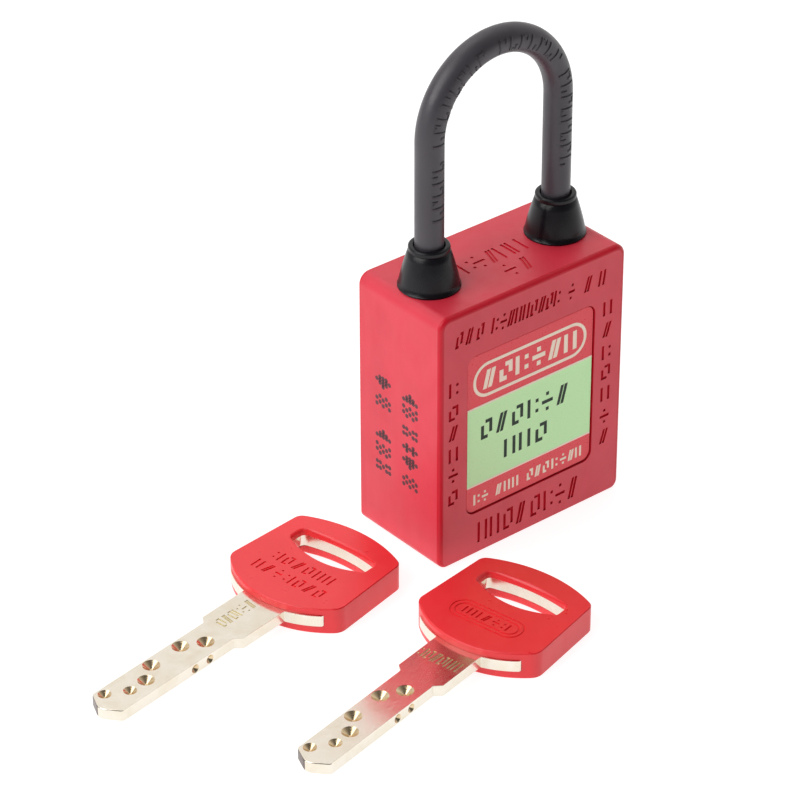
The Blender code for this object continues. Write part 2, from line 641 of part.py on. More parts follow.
# ---- shackle --------------------------------------------------------------------
def build_shackle(base, coated):
    """One swept bar: heel leg with foot and neck, semicircular arch, toe leg."""
    neck_bottom = HEEL_BOTTOM + FOOT_HEIGHT
    neck_top = STOP_PIN_HEIGHT - SHACKLE_LIFT + STOP_PIN_RADIUS + CLEARANCE
    heel = (
        (HEEL_BOTTOM, SHACKLE_RADIUS - LEG_CHAMFER),
        (HEEL_BOTTOM + LEG_CHAMFER, SHACKLE_RADIUS),
        (neck_bottom, SHACKLE_RADIUS),
        (neck_bottom, LEG_NECK_RADIUS),
        (neck_top, LEG_NECK_RADIUS),
        (neck_top, SHACKLE_RADIUS),
    )
    toe = ((TOE_BOTTOM + LEG_CHAMFER, SHACKLE_RADIUS), (TOE_BOTTOM, SHACKLE_RADIUS - LEG_CHAMFER))
    stations = [(Vector((-LEG_X, 0.0, z)), Vector((1.0, 0.0, 0.0)), radius) for z, radius in heel]
    arch_steps = 26
    for step in range(arch_steps + 1):
        angle = math.pi * (1.0 - step / arch_steps)
        outward = Vector((math.cos(angle), 0.0, math.sin(angle)))
        centre = Vector((0.0, 0.0, ARCH_CENTRE)) + outward * LEG_X
        stations.append((centre, -outward, SHACKLE_RADIUS))
    stations += [(Vector((LEG_X, 0.0, z)), Vector((-1.0, 0.0, 0.0)), radius) for z, radius in toe]
    across = Vector((0.0, 1.0, 0.0))
    rings = []
    for centre, inward, radius in stations:
        rings.append([centre + inward * x + across * y for x, y in circle(radius, 20)])
    shackle = add("shackle", layers(rings), base, coated)

    flat = box(
        (-LEG_X + LEG_NECK_RADIUS, -CASE_DEPTH, neck_bottom + OVERCUT),
        (0.0, CASE_DEPTH, STOP_PIN_HEIGHT + STOP_PIN_RADIUS + 2.0 * CLEARANCE),
    )
    notch_floor = BOLT_NOSE + CLEARANCE
    notch_low = BOLT_BOTTOM - CLEARANCE
    ramp_run = notch_floor - (LEG_X - SHACKLE_RADIUS) + CLEARANCE
    notch = lengthwise(prism(
        (
            (notch_floor, notch_low),
            (notch_floor, BOLT_TOP + CLEARANCE),
            (notch_floor - ramp_run, BOLT_TOP + CLEARANCE),
            (notch_floor - ramp_run, notch_low - ramp_run * SHACKLE_LIFT / BOLT_TRAVEL),
        ),
        -CASE_DEPTH,
        CASE_DEPTH,
    ))
    cut(shackle, add("shackle_flat", flat, base), add("shackle_notch", notch, base))


def build_shackle_hardware(base, steel):
    pin = crossbar(STOP_PIN_RADIUS, STOP_PIN_HALF)
    add("shackle_stop_pin", pin, base, steel, (STOP_PIN_X, 0.0, STOP_PIN_HEIGHT))
    low = CORE_BOTTOM + HEEL_BORE_FLOOR + SPRING_GAP
    spring = coil(SHACKLE_COIL, HEEL_BOTTOM - SPRING_GAP - low)
    add("shackle_spring", spring, base, steel, (-LEG_X, 0.0, low))


# ---- keys -----------------------------------------------------------------------
def bulge(corner, apex, count):
    """Points of a shallow arc from (x, -y) over (apex, 0) to (x, y)."""
    x, half = corner
    rise = x - apex
    radius = (half * half + rise * rise) / (2.0 * abs(rise))
    centre = apex + math.copysign(radius, rise)
    sweep = math.asin(half / radius)
    side = math.copysign(1.0, -rise)
    points = []
    for i in range(count + 1):
        angle = sweep * (2.0 * i / count - 1.0)
        points.append((centre + side * radius * math.cos(angle), radius * math.sin(angle)))
    return points


def mirrored(points):
    """The same points on the other side of the key's middle line, in reverse order."""
    return [(x, -y) for x, y in reversed(points)]


def bow_outline():
    """Bow seen from above, blade towards -X: bulging near and far edges, straight sides."""
    near = bulge(BOW_NEAR_END, BOW_NEAR_APEX, 12)
    far = bulge(BOW_FAR_END, BOW_FAR_APEX, 10)
    side = [BOW_SIDE_FAR, (BOW_SIDE_NEAR[0] + BOW_CORNER_STEP, BOW_SIDE_NEAR[1])]
    return list(reversed(near)) + mirrored(side) + far + side


def slot_outline(growth):
    near = bulge((SLOT_NEAR[0][0], SLOT_NEAR[0][1] + growth), SLOT_NEAR[1] - growth, 8)
    far = bulge((SLOT_FAR[0][0], SLOT_FAR[0][1] + growth), SLOT_FAR[1] + growth, 8)
    end = [(x, y + growth) for x, y in SLOT_END]
    return list(reversed(near)) + mirrored(end) + far + end


def pocket_outline():
    """Room for the key's head, open through both windows of the near edge."""
    far = bulge(POCKET_FAR, POCKET_FAR_APEX, 8)
    side = [POCKET_NEAR, (WINDOW_DEPTH, WINDOW_HALF), (-WINDOW_DEPTH, WINDOW_HALF)]
    return side + mirrored(side) + far


def build_bow(name, base, plastic):
    body = prism(bow_outline(), 0.0, BOW_THICKNESS)
    bow = soften(add(name, body, base, plastic), BOW_EDGE, 2)
    pocket = prism(pocket_outline(), BOW_WALL, BOW_THICKNESS - BOW_WALL)
    slot = prism(slot_outline(0.0), -OVERCUT, BOW_THICKNESS + OVERCUT)
    cut(bow, add(name + "_pocket", pocket, base), add(name + "_slot", slot, base))


def head_edge(half):
    """Where the near edge of the key's head stands at this distance from its middle line."""
    rise = HEAD_NEAR_END[0] - BOW_NEAR_APEX - HEAD_GAP
    radius = (HEAD_NEAR_END[1] ** 2 + rise * rise) / (2.0 * rise)
    return BOW_NEAR_APEX + HEAD_GAP + radius - math.sqrt(radius * radius - half * half)


def blade_outline(inset):
    """Head, neck and blade in one outline; the inset draws the blade's edges in."""
    neck = BLADE_NECK_WIDTH / 2.0
    near = bulge(HEAD_NEAR_END, BOW_NEAR_APEX + HEAD_GAP, 12)
    near_upper = [point for point in near if point[1] > neck + NECK_GAP]
    far = bulge(HEAD_SIDE_FAR, HEAD_FAR_APEX, 8)
    tip = inset - BLADE_LENGTH
    blade = [
        (tip, BLADE_TIP_FLAT),
        (tip + BLADE_TIP_POINT, BLADE_HALF - inset),
        (-BLADE_NECK_LENGTH - BLADE_SHOULDER_LENGTH, BLADE_HALF - inset),
        (-BLADE_NECK_LENGTH, neck - inset),
        (head_edge(neck), neck - inset),
    ]
    upper = blade + near_upper + [HEAD_SIDE_NEAR]
    return upper + list(reversed(far)) + mirrored(upper)


def build_blade(name, base, metal):
    upper_edge = BLADE_TOP - BLADE_CHAMFER
    levels = (
        (BLADE_BOTTOM, BLADE_CHAMFER),
        (BLADE_BOTTOM + BLADE_CHAMFER, 0.0),
        (upper_edge, 0.0),
        (BLADE_TOP, BLADE_CHAMFER),
    )
    rings = [[(x, y, z) for x, y in blade_outline(inset)] for z, inset in levels]
    blade = add(name, layers(rings), base, metal)
    ring_slot = prism(slot_outline(HEAD_GAP), -OVERCUT, BOW_THICKNESS + OVERCUT)
    tools = [add(name + "_slot", ring_slot, base)]
    for number, (along, across, radius) in enumerate(DIMPLES, 1):
        place = (-along, across, BLADE_TOP)
        tools.append(add("%s_dimple_%d" % (name, number), dimple_form(radius), base, place=place))
    facing = (math.radians(90.0), 0.0, 0.0)
    for number, along in enumerate(SIDE_DIMPLES, 1):
        place = (-along, -BLADE_HALF, (BLADE_TOP + BLADE_BOTTOM) / 2.0)
        form = dimple_form(SIDE_DIMPLE_RADIUS)
        tools.append(add("%s_side_dimple_%d" % (name, number), form, base, place=place, turn=facing))
    cut(blade, *tools)


def dimple_form(radius):
    depth, bottom = DIMPLE_SHAPE
    return turned(((bottom * radius, -depth * radius), (radius, 0.0), (radius, OVERCUT)), 14)


# ---- assembly -------------------------------------------------------------------
def main():
    clear_scene()
    red = material("red_nylon", (0.72, 0.06, 0.09), 0.45)
    bright_red = material("bright_red_plastic", (0.80, 0.04, 0.07), 0.35)
    black = material("black_rubber", (0.015, 0.015, 0.017), 0.5)
    coated = material("dark_grey_nylon", (0.06, 0.055, 0.06), 0.5)
    film = material("label_film", (0.5, 0.7, 0.42), 0.3)
    zinc = material("zinc_alloy", (0.55, 0.56, 0.58), 0.4, 1.0)
    brass = material("brass", (0.78, 0.6, 0.3), 0.3, 1.0)
    steel = material("steel", (0.6, 0.6, 0.6), 0.3, 1.0)
    nickel = material("nickel_silver", (0.68, 0.62, 0.52), 0.25, 1.0)

    padlock = empty("padlock_frame", (*PADLOCK_PLACE, 0.0))
    build_case(padlock, red)
    build_label(padlock, film)
    build_collars(padlock, black)
    build_cover(padlock, red, steel)
    build_core(padlock, zinc)
    build_housing(padlock, brass)
    build_plug(padlock, brass)
    build_clip(padlock, steel)
    build_pins(padlock, brass, steel)
    build_chamber_strip(padlock, brass)
    build_cylinder_pin(padlock, steel)
    build_cam(padlock, steel)
    build_bolt(padlock, steel)
    build_shackle(padlock, coated)
    build_shackle_hardware(padlock, steel)
    for name, (x, y), heading in KEYS:
        place = (PADLOCK_PLACE[0] + x, PADLOCK_PLACE[1] + y, 0.0)
        key = empty(name + "_frame", place, heading)
        build_blade(name + "_blade", key, nickel)
        build_bow(name + "_bow", key, bright_red)


main()
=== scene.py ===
"""Looks of the safety padlock and its two keys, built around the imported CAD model."""
import json
import math

import bmesh
import bpy
from mathutils import Matrix, Vector


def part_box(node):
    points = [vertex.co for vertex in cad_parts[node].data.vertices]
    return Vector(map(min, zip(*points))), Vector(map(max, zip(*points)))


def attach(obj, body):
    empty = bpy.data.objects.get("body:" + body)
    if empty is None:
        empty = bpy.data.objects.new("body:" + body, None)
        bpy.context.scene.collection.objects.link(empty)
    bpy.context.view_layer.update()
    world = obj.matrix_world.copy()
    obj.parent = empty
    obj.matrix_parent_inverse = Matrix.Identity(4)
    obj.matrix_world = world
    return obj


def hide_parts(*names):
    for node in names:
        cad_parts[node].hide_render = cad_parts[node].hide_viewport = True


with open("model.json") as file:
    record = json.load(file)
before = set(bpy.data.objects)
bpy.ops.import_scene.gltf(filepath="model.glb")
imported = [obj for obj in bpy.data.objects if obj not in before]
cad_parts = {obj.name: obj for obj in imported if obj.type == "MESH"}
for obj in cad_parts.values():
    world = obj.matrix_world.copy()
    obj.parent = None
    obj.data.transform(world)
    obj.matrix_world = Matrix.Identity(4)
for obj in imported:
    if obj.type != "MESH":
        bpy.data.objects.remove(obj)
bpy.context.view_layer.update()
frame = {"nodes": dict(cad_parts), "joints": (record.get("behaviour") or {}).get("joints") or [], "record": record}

MM = 0.001
X, Y, Z = Vector((1, 0, 0)), Vector((0, 1, 0)), Vector((0, 0, 1))

# ---- places taken from the frame ----------------------------------------------------
CASE_LOW, CASE_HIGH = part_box("case")
BASE = Vector(((CASE_LOW.x + CASE_HIGH.x) / 2, (CASE_LOW.y + CASE_HIGH.y) / 2, CASE_LOW.z))
CASE_SIZE = CASE_HIGH - CASE_LOW
LABEL_LOW, LABEL_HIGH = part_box("label")
COLLAR_LOW, COLLAR_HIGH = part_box("collar_left")
LEG_X = BASE.x - (COLLAR_LOW.x + COLLAR_HIGH.x) / 2
SHACKLE_LOW, SHACKLE_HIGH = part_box("shackle")
BAR = (SHACKLE_HIGH.y - SHACKLE_LOW.y) / 2
ARCH_CENTRE = SHACKLE_HIGH.z - BAR - LEG_X
BOW_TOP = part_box("key_1_bow")[1].z
BLADE_LOW, BLADE_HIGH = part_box("key_1_blade")
# Where each key's blade enters its bow, from the padlock's base, and its heading.
KEYS = (
    ("key_1", Vector((-53.32 * MM, -2.75 * MM, 0)), math.radians(9.5)),
    ("key_2", Vector((-36.82 * MM, -33.65 * MM, 0)), math.radians(11.8)),
)


# ---- materials ------------------------------------------------------------------------
class Surface:
    """A Principled material whose detail comes from noise in the object's own space."""

    def __init__(self, name, colour, roughness, metallic=0.0, **sockets):
        self.material = bpy.data.materials.new(name)
        self.material.use_nodes = True
        self.material.diffuse_color = (*colour, 1.0)
        self.nodes = self.material.node_tree.nodes
        self.links = self.material.node_tree.links
        self.shader = self.nodes["Principled BSDF"]
        self.shader.inputs["Base Color"].default_value = (*colour, 1.0)
        self.shader.inputs["Roughness"].default_value = roughness
        self.shader.inputs["Metallic"].default_value = metallic
        for socket, value in sockets.items():
            self.shader.inputs[socket.replace("_", " ")].default_value = value
        self.place = self.nodes.new("ShaderNodeTexCoord").outputs["Object"]

    def noise(self, size, detail=3.0, stretch=(1, 1, 1), turn=0.0, distortion=0.0):
        """Noise whose features are about this size in metres; stretch lengthens them."""
        mapping = self.nodes.new("ShaderNodeMapping")
        mapping.vector_type = "TEXTURE"
        mapping.inputs["Rotation"].default_value = (0, 0, turn)
        mapping.inputs["Scale"].default_value = [size * s for s in stretch]
        texture = self.nodes.new("ShaderNodeTexNoise")
        texture.inputs["Scale"].default_value = 1.0
        texture.inputs["Detail"].default_value = detail
        texture.inputs["Distortion"].default_value = distortion
        self.links.new(self.place, mapping.inputs["Vector"])
        self.links.new(mapping.outputs["Vector"], texture.inputs["Vector"])
        return texture.outputs["Fac"]

    def span(self, source, low, high, to_low=0.0, to_high=1.0):
        """Rescale and clamp a value."""
        node = self.nodes.new("ShaderNodeMapRange")
        node.inputs["From Min"].default_value = low
        node.inputs["From Max"].default_value = high
        node.inputs["To Min"].default_value = to_low
        node.inputs["To Max"].default_value = to_high
        self.links.new(source, node.inputs["Value"])
        return node.outputs["Result"]

    def tint(self, mask, colour):
        """Blend another colour in where the mask is 1."""
        mix = self.nodes.new("ShaderNodeMix")
        mix.data_type = "RGBA"
        socket = self.shader.inputs["Base Color"]
        if socket.is_linked:
            self.links.new(socket.links[0].from_socket, mix.inputs[6])
        else:
            mix.inputs[6].default_value = socket.default_value
        mix.inputs[7].default_value = (*colour, 1.0)
        self.links.new(mask, mix.inputs[0])
        self.links.new(mix.outputs[2], socket)
        return self

    def rough(self, source, low, high, to_low, to_high):
        """Vary the roughness with a value."""
        self.links.new(self.span(source, low, high, to_low, to_high), self.shader.inputs["Roughness"])
        return self

    def bump(self, source, height, strength=1.0):
        """Add relief of about this height in metres."""
        node = self.nodes.new("ShaderNodeBump")
        node.inputs["Distance"].default_value = height
        node.inputs["Strength"].default_value = strength
        socket = self.shader.inputs["Normal"]
        if socket.is_linked:
            self.links.new(socket.links[0].from_socket, node.inputs["Normal"])
        self.links.new(source, node.inputs["Height"])
        self.links.new(node.outputs["Normal"], socket)
        return self


def moulded(name, colour, shade, roughness, grain=0.012 * MM, **sockets):
    """Moulded plastic: fine spark-eroded grain, faint flow clouds and small rubs."""
    made = Surface(name, colour, roughness, **sockets)
    clouds = made.noise(9 * MM, 3.0, distortion=0.4)
    fine = made.noise(0.28 * MM, 2.0)
    rubs = made.noise(2.2 * MM, 5.0, (1, 1, 3))
    made.tint(made.span(clouds, 0.35, 0.75), shade)
    made.rough(rubs, 0.3, 0.75, roughness - 0.07, roughness + 0.08)
    made.bump(clouds, 0.10 * MM, 0.35)
    made.bump(fine, grain)
    return made.material


def polished(name, colour, shade, roughness, turn=0.0, stretch=(18, 1, 1)):
    """Rolled or plated metal: long fine lines, faint tarnish and small scratches."""
    made = Surface(name, colour, roughness, 1.0)
    lines = made.noise(0.10 * MM, 2.0, stretch, turn)
    tarnish = made.noise(3.5 * MM, 4.0, distortion=0.6)
    scratches = made.noise(0.25 * MM, 1.0, (1, 30, 1), turn + 0.6)
    made.tint(made.span(tarnish, 0.42, 0.75), shade)
    made.rough(lines, 0.3, 0.7, roughness - 0.04, roughness + 0.10)
    made.bump(lines, 0.0012 * MM)
    made.bump(made.span(scratches, 0.62, 0.7), 0.0015 * MM, 0.5)
    return made.material


def turned_metal(name, colour, shade, roughness):
    """Machined metal for pieces inside the lock."""
    made = Surface(name, colour, roughness, 1.0)
    cuts = made.noise(0.12 * MM, 2.0, (14, 14, 1))
    stain = made.noise(2.5 * MM, 4.0)
    made.tint(made.span(stain, 0.45, 0.75), shade)
    made.rough(cuts, 0.3, 0.7, roughness - 0.05, roughness + 0.10)
    made.bump(cuts, 0.002 * MM)
    return made.material


def ink(name, colour, shade, roughness, **sockets):
    """Printed ink: slightly uneven cover."""
    made = Surface(name, colour, roughness, **sockets)
    cover = made.noise(0.35 * MM, 3.0)
    made.tint(made.span(cover, 0.5, 0.8), shade)
    made.rough(cover, 0.3, 0.7, roughness - 0.05, roughness + 0.08)
    made.bump(made.noise(1.5 * MM, 2.0), 0.010 * MM)
    return made.material


def make_materials():
    return {
        "case": moulded("red_nylon", (0.74, 0.032, 0.062), (0.67, 0.025, 0.050), 0.42,
                        Specular_IOR_Level=0.52),
        # Darker, less glossy copy of the case red for its rounded edges and the top's sunk marks: painted shade
        # and a painted dark reflection on the fillets.
        "edge": moulded("red_nylon_edge_shade", (0.66, 0.010, 0.030), (0.60, 0.008, 0.024), 0.36,
                        Specular_IOR_Level=0.30),
        # Darker, matte copy of the case red for the front's sunk marks and the label pocket: painted shade in the
        # recesses.
        "carved_shade": moulded("red_nylon_sunk_shade", (0.60, 0.010, 0.026), (0.52, 0.008, 0.022), 0.7,
                          Specular_IOR_Level=0.10),
        "bow": moulded("bright_red_plastic", (0.93, 0.034, 0.044), (0.88, 0.028, 0.037), 0.34, 0.006 * MM),
        # Slightly darker, matte copy of the bow red for its sunk marks: painted shade in the grooves.
        "bow_mark_shade": moulded("bright_red_marks_shade", (0.90, 0.022, 0.032), (0.84, 0.018, 0.026), 0.5, 0.006 * MM,
                            Specular_IOR_Level=0.2),
        # Darker, less glossy copy of the bow red for its rounded edges: painted shade and a painted dark
        # reflection.
        "bow_edge_shade": moulded("bright_red_edge_shade", (0.80, 0.012, 0.024), (0.74, 0.010, 0.020), 0.34, 0.006 * MM,
                            Specular_IOR_Level=0.3),
        "collar": moulded("black_rubber", (0.004, 0.0035, 0.0055), (0.007, 0.006, 0.009), 0.30, 0.005 * MM,
                          Specular_IOR_Level=0.30),
        "shackle": moulded("dark_grey_nylon", (0.048, 0.042, 0.052), (0.060, 0.053, 0.064), 0.40, 0.012 * MM),
        # Darker copy of the shackle nylon for its raised ribs: painted shade standing in for the dark edges of the
        # ribs.
        "rib": moulded("dark_grey_marks_shade", (0.030, 0.026, 0.033), (0.040, 0.035, 0.043), 0.34, 0.008 * MM),
        "film": ink("label_red", (0.88, 0.040, 0.062), (0.84, 0.034, 0.052), 0.30),
        "green": ink("label_green", (0.62, 1.0, 0.50), (0.68, 0.98, 0.56), 0.30),
        "cream": ink("label_cream", (1.0, 0.84, 0.68), (0.96, 0.78, 0.62), 0.30),
        "dark_ink": ink("label_dark", (0.012, 0.030, 0.014), (0.020, 0.045, 0.022), 0.40,
                        Specular_IOR_Level=0.25),
        "dot_ink": ink("print_dark", (0.085, 0.022, 0.032), (0.16, 0.035, 0.048), 0.5),
        "zinc": turned_metal("zinc_alloy", (0.55, 0.56, 0.58), (0.46, 0.47, 0.49), 0.42),
        "brass": turned_metal("brass", (0.80, 0.62, 0.32), (0.68, 0.50, 0.24), 0.26),
        "steel": turned_metal("steel", (0.62, 0.62, 0.63), (0.50, 0.50, 0.52), 0.28),
        "dimple": turned_metal("cut_brass", (0.78, 0.62, 0.40), (0.66, 0.48, 0.28), 0.22),
        # Dark copy of the key metal for one facet of the blade's tip: painted shade.
        "tip": turned_metal("tip_facet_shade", (0.16, 0.12, 0.11), (0.11, 0.08, 0.07), 0.3),
        "stamp": turned_metal("stamped_brass", (0.66, 0.58, 0.36), (0.54, 0.46, 0.26), 0.40),
    }


# ---- shapes -----------------------------------------------------------------------------
def arc(centre, radius, start, end, count):
    """Points on an arc between two angles in degrees, both ends included."""
    angles = [math.radians(start + (end - start) * i / count) for i in range(count + 1)]
    return [(centre[0] + radius * math.cos(a), centre[1] + radius * math.sin(a)) for a in angles]


def rounded(half_x, half_y, radius, steps=6, centre=(0.0, 0.0), lean=0.0):
    """Outline of a rounded rectangle; lean shears it along x."""
    points = []
    for quarter, (side_x, side_y) in enumerate(((1, 1), (-1, 1), (-1, -1), (1, -1))):
        corner = (side_x * (half_x - radius), side_y * (half_y - radius))
        points += arc(corner, radius, 90.0 * quarter, 90.0 * (quarter + 1), steps)
    return [(centre[0] + x + lean * y, centre[1] + y) for x, y in points]


def circle(radius, count, centre=(0.0, 0.0)):
    return arc(centre, radius, 0.0, 360.0 * (count - 1) / count, count - 1)


def skin(bm, rings, closed=False, index=0):
    """Add a skin over rings of equal counts; the ends are capped unless it closes."""
    loops = [[bm.verts.new(point) for point in ring] for ring in rings]
    count = len(loops[0])
    pairs = list(zip(loops, loops[1:]))
    if closed:
        pairs.append((loops[-1], loops[0]))
    faces = []
    for low, high in pairs:
        for i in range(count):
            j = (i + 1) % count
            faces.append(bm.faces.new((low[i], low[j], high[j], high[i])))
    if not closed:
        faces.append(bm.faces.new(list(reversed(loops[0]))))
        faces.append(bm.faces.new(loops[-1]))
    for face in faces:
        face.material_index = index


def plates(bm, outlines, low, high, index=0):
    """Prisms over outlines between two heights."""
    for outline in outlines:
        skin(bm, [[(x, y, z) for x, y in outline] for z in (low, high)], index=index)


def turned(bm, profile, count, centre):
    """Spin a closed (radius, height) profile about a vertical axis."""
    rings = [[(x + centre.x, y + centre.y, h + centre.z) for x, y in circle(r, count)] for r, h in profile]
    skin(bm, rings, closed=True)


def face_frame(origin, u, v):
    """Matrix that lays a drawing in u and v, its height along u x v, at an origin."""
    columns = Matrix((u, v, u.cross(v))).transposed().to_4x4()
    return Matrix.Translation(origin) @ columns


def to_object(name, bm, materials, matrix=None):
    """Turn a bmesh into an object, moved by the matrix if there is one."""
    if matrix is not None:
        bm.transform(matrix)
    bmesh.ops.recalc_face_normals(bm, faces=bm.faces)
    mesh = bpy.data.meshes.new(name)
    bm.to_mesh(mesh)
    bm.free()
    for made in materials:
        mesh.materials.append(made)
    made = bpy.data.objects.new(name, mesh)
    bpy.context.scene.collection.objects.link(made)
    return made


def weigh(bm, rule):
    """Give every sharp edge a bevel weight between 0 and 1."""
    layer = bm.edges.layers.float.new("bevel_weight_edge")
    bm.normal_update()
    for edge in bm.edges:
        if edge.calc_face_angle(0.0) > math.radians(50.0):
            edge[layer] = rule((edge.verts[0].co + edge.verts[1].co) / 2)


def bevelled(target, width, segments, angle=50.0, material=-1, weighted=False):
    """Round the edges sharper than an angle, or those that have a bevel weight."""
    change = target.modifiers.new("edge", "BEVEL")
    change.width = width
    change.segments = segments
    change.limit_method = "WEIGHT" if weighted else "ANGLE"
    change.angle_limit = math.radians(angle)
    change.use_clamp_overlap = True
    change.material = material
    return target


def settle(target, angle=32.0):
    """Turn the modifiers' result into the object's own mesh, shaded smooth up to an angle."""
    depsgraph = bpy.context.evaluated_depsgraph_get()
    mesh = bpy.data.meshes.new_from_object(target.evaluated_get(depsgraph), depsgraph=depsgraph)
    target.modifiers.clear()
    target.data = mesh
    mesh.shade_smooth()
    mesh.set_sharp_from_angle(angle=math.radians(angle))
    weighted = target.modifiers.new("even_normals", "WEIGHTED_NORMAL")
    weighted.keep_sharp = True
    return target


def carve(target, tool):
    """Subtract a tool from a target and remove the tool."""
    change = target.modifiers.new("carve", "BOOLEAN")
    change.operation = "DIFFERENCE"
    change.solver = "EXACT"
    change.object = tool
    depsgraph = bpy.context.evaluated_depsgraph_get()
    mesh = bpy.data.meshes.new_from_object(target.evaluated_get(depsgraph), depsgraph=depsgraph)
    target.modifiers.clear()
    target.data = mesh
    bpy.data.objects.remove(tool, do_unlink=True)
    return target


def stand_for(piece, body, slot, *nodes):
    """Let a piece ride on a body and replace these nodes; the slot is not used."""
    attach(piece, body)
    if nodes:
        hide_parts(*nodes)
    return piece


# ---- plain marks in place of lettering ------------------------------------------------------
def strokes(centre, height, width, stroke, kind, lean=0.0):
    """One plain mark of bars and blocks; none of them is a letter or a digit."""
    x, y = centre
    w, h, t = width / 2, height / 2, stroke

    def shape(*corners):
        return [(x + a + lean * b, y + b) for a, b in corners]

    def bar(left, right, low, high):
        return shape((left, low), (right, low), (right, high), (left, high))

    if kind == 0:
        end_x, end_y = w - 1.5 * t, h - 1.5 * t
        bracket = ((-w, -h), (end_x, -h), (end_x, t - h), (t - w, t - h), (t - w, end_y), (-w, end_y))
        return [shape(*bracket), shape(*[(-a, -b) for a, b in bracket])]
    if kind == 1:
        return [bar(-w, t - w, -h, h), bar(w - t, w, -h, h)]
    if kind == 2:
        return [bar(-w, w, -t / 2, t / 2)] + [bar(-t / 2, t / 2, low, low + t) for low in (-h, h - t)]
    if kind == 3:
        middles = (-0.55 * h, 0.55 * h)
        return [bar(-w, t - w, -h, h)] + [bar(w - t, w, m - t / 2, m + t / 2) for m in middles]
    slide = 2 * w - 2.3 * t
    return [shape((left, -h), (left + t, -h), (left + t + slide, h), (left + slide, h))
            for left in (-w, 1.3 * t - w)]


def mark_row(places, level, height, width, stroke, lean=0.0, first=0):
    """Marks at these places along a level line."""
    marks = []
    for number, place in enumerate(places):
        kind = (0, 3, 1, 4, 2, 1, 0, 4)[(number * 3 + first) % 8]
        marks += strokes((place * MM, level), height, width, stroke, kind, lean)
    return marks


# ---- case -----------------------------------------------------------------------------------
CASE_TOP_CORNER = 2.2 * MM
CASE_FOOT_CORNER = 1.7 * MM
CASE_EDGE = 0.85 * MM
FRONT_MARK_DEPTH = 0.24 * MM
TOP_MARK_DEPTH = 0.18 * MM
POCKET_DEPTH = 0.6 * MM
POCKET_GAP = 0.24 * MM
COLLAR_HOLE = 4.1 * MM
# How far a cutting tool stands out of the surface that it cuts.
PROUD = 0.2 * MM
FRONT = face_frame(Vector((BASE.x, CASE_LOW.y, BASE.z)), X, Z)
TOP = face_frame(Vector((BASE.x, BASE.y, CASE_HIGH.z)), X, Y)
LEFT = face_frame(Vector((CASE_LOW.x, BASE.y, BASE.z)), -Y, Z)


def front_marks():
    row = [-16.6, -14.4, -12.0, -8.8, -6.9, -5.2, -3.6, -1.9, -0.1, 1.7, 3.4, 5.1, 8.4, 12.2, 15.4]
    marks = mark_row(row, 44.6 * MM, 2.9 * MM, 1.45 * MM, 0.48 * MM, 0.16)
    columns = (
        (-17.8 * MM, (35.4, 30.8, 26.8, 22.4, 18.3, 13.8), (3, 0, 4, 1, 2, 0)),
        (16.9 * MM, (38.1, 33.8, 29.3, 25.2, 20.8, 16.2, 12.0), (1, 4, 3, 0, 1, 2, 4)),
    )
    for place, levels, kinds in columns:
        for level, kind in zip(levels, kinds):
            marks += strokes((place, level * MM), 2.8 * MM, 2.1 * MM, 0.52 * MM, kind)
    low_row = [-11.1, -8.3, -5.2, -2.3, 1.1, 4.1, 6.9, 9.8]
    return marks + mark_row(low_row, 4.2 * MM, 4.1 * MM, 2.2 * MM, 0.56 * MM, first=2)


def top_marks():
    first = mark_row([-5.6, -2.8, 0.0, 2.8, 5.6], 0.4 * MM, 4.0 * MM, 2.5 * MM, 0.5 * MM, first=1)
    second = mark_row([-0.4, 3.0], -5.0 * MM, 3.8 * MM, 2.5 * MM, 0.5 * MM, first=4)
    return first + second


def case_outline():
    """The case seen from the front, standing on the drawing's x axis."""
    half, tall = CASE_SIZE.x / 2, CASE_SIZE.z
    top, foot = CASE_TOP_CORNER, CASE_FOOT_CORNER
    return (
        arc((half - top, tall - top), top, 0.0, 90.0, 10)
        + arc((top - half, tall - top), top, 90.0, 180.0, 10)
        + arc((foot - half, foot), foot, 180.0, 270.0, 8)
        + arc((half - foot, foot), foot, 270.0, 360.0, 8)
    )


def build_case(paint):
    """The rounded box with its cavity, collar holes, label pocket and sunk marks."""
    paints = (paint["case"], paint["carved_shade"], paint["edge"])
    bm = bmesh.new()
    plates(bm, [case_outline()], -CASE_SIZE.y, 0.0)
    weigh(bm, lambda point: 0.45 + 0.55 * min(1.0, point.y / CASE_FOOT_CORNER))
    # The bevel's faces take the edge red, with its painted shade.
    case = bevelled(to_object("case_shell", bm, paints, FRONT), CASE_EDGE, 5, material=2, weighted=True)

    hollow = bmesh.new()
    cover_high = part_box("bottom_cover")[1]
    core_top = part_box("inner_core")[1].z
    gap = 0.15 * MM
    inside = rounded(cover_high.x - BASE.x + gap, cover_high.y - BASE.y + gap, 1.0 * MM, 5)
    plates(hollow, [inside], -2 * MM, core_top - BASE.z + gap)
    carve(case, to_object("hollow", hollow, paints, Matrix.Translation(BASE)))

    holes = bmesh.new()
    for x in (-LEG_X, LEG_X):
        plates(holes, [circle(COLLAR_HOLE, 48, (x, 0))], -4 * MM, 1 * MM)
    # The top's sunk marks take the edge red: painted shade in their grooves.
    plates(holes, top_marks(), -TOP_MARK_DEPTH, PROUD, index=2)
    carve(case, to_object("holes", holes, paints, TOP))

    pocket = bmesh.new()
    # The pocket's walls and the front marks take the darker red: painted shade in the recesses.
    plates(pocket, [label_outline(POCKET_GAP)], -POCKET_DEPTH, 1 * MM, index=1)
    plates(pocket, front_marks(), -FRONT_MARK_DEPTH, PROUD, index=1)
    carve(case, to_object("pocket", pocket, paints, FRONT))
    stand_for(settle(case), "padlock_body", "red_nylon", "case")


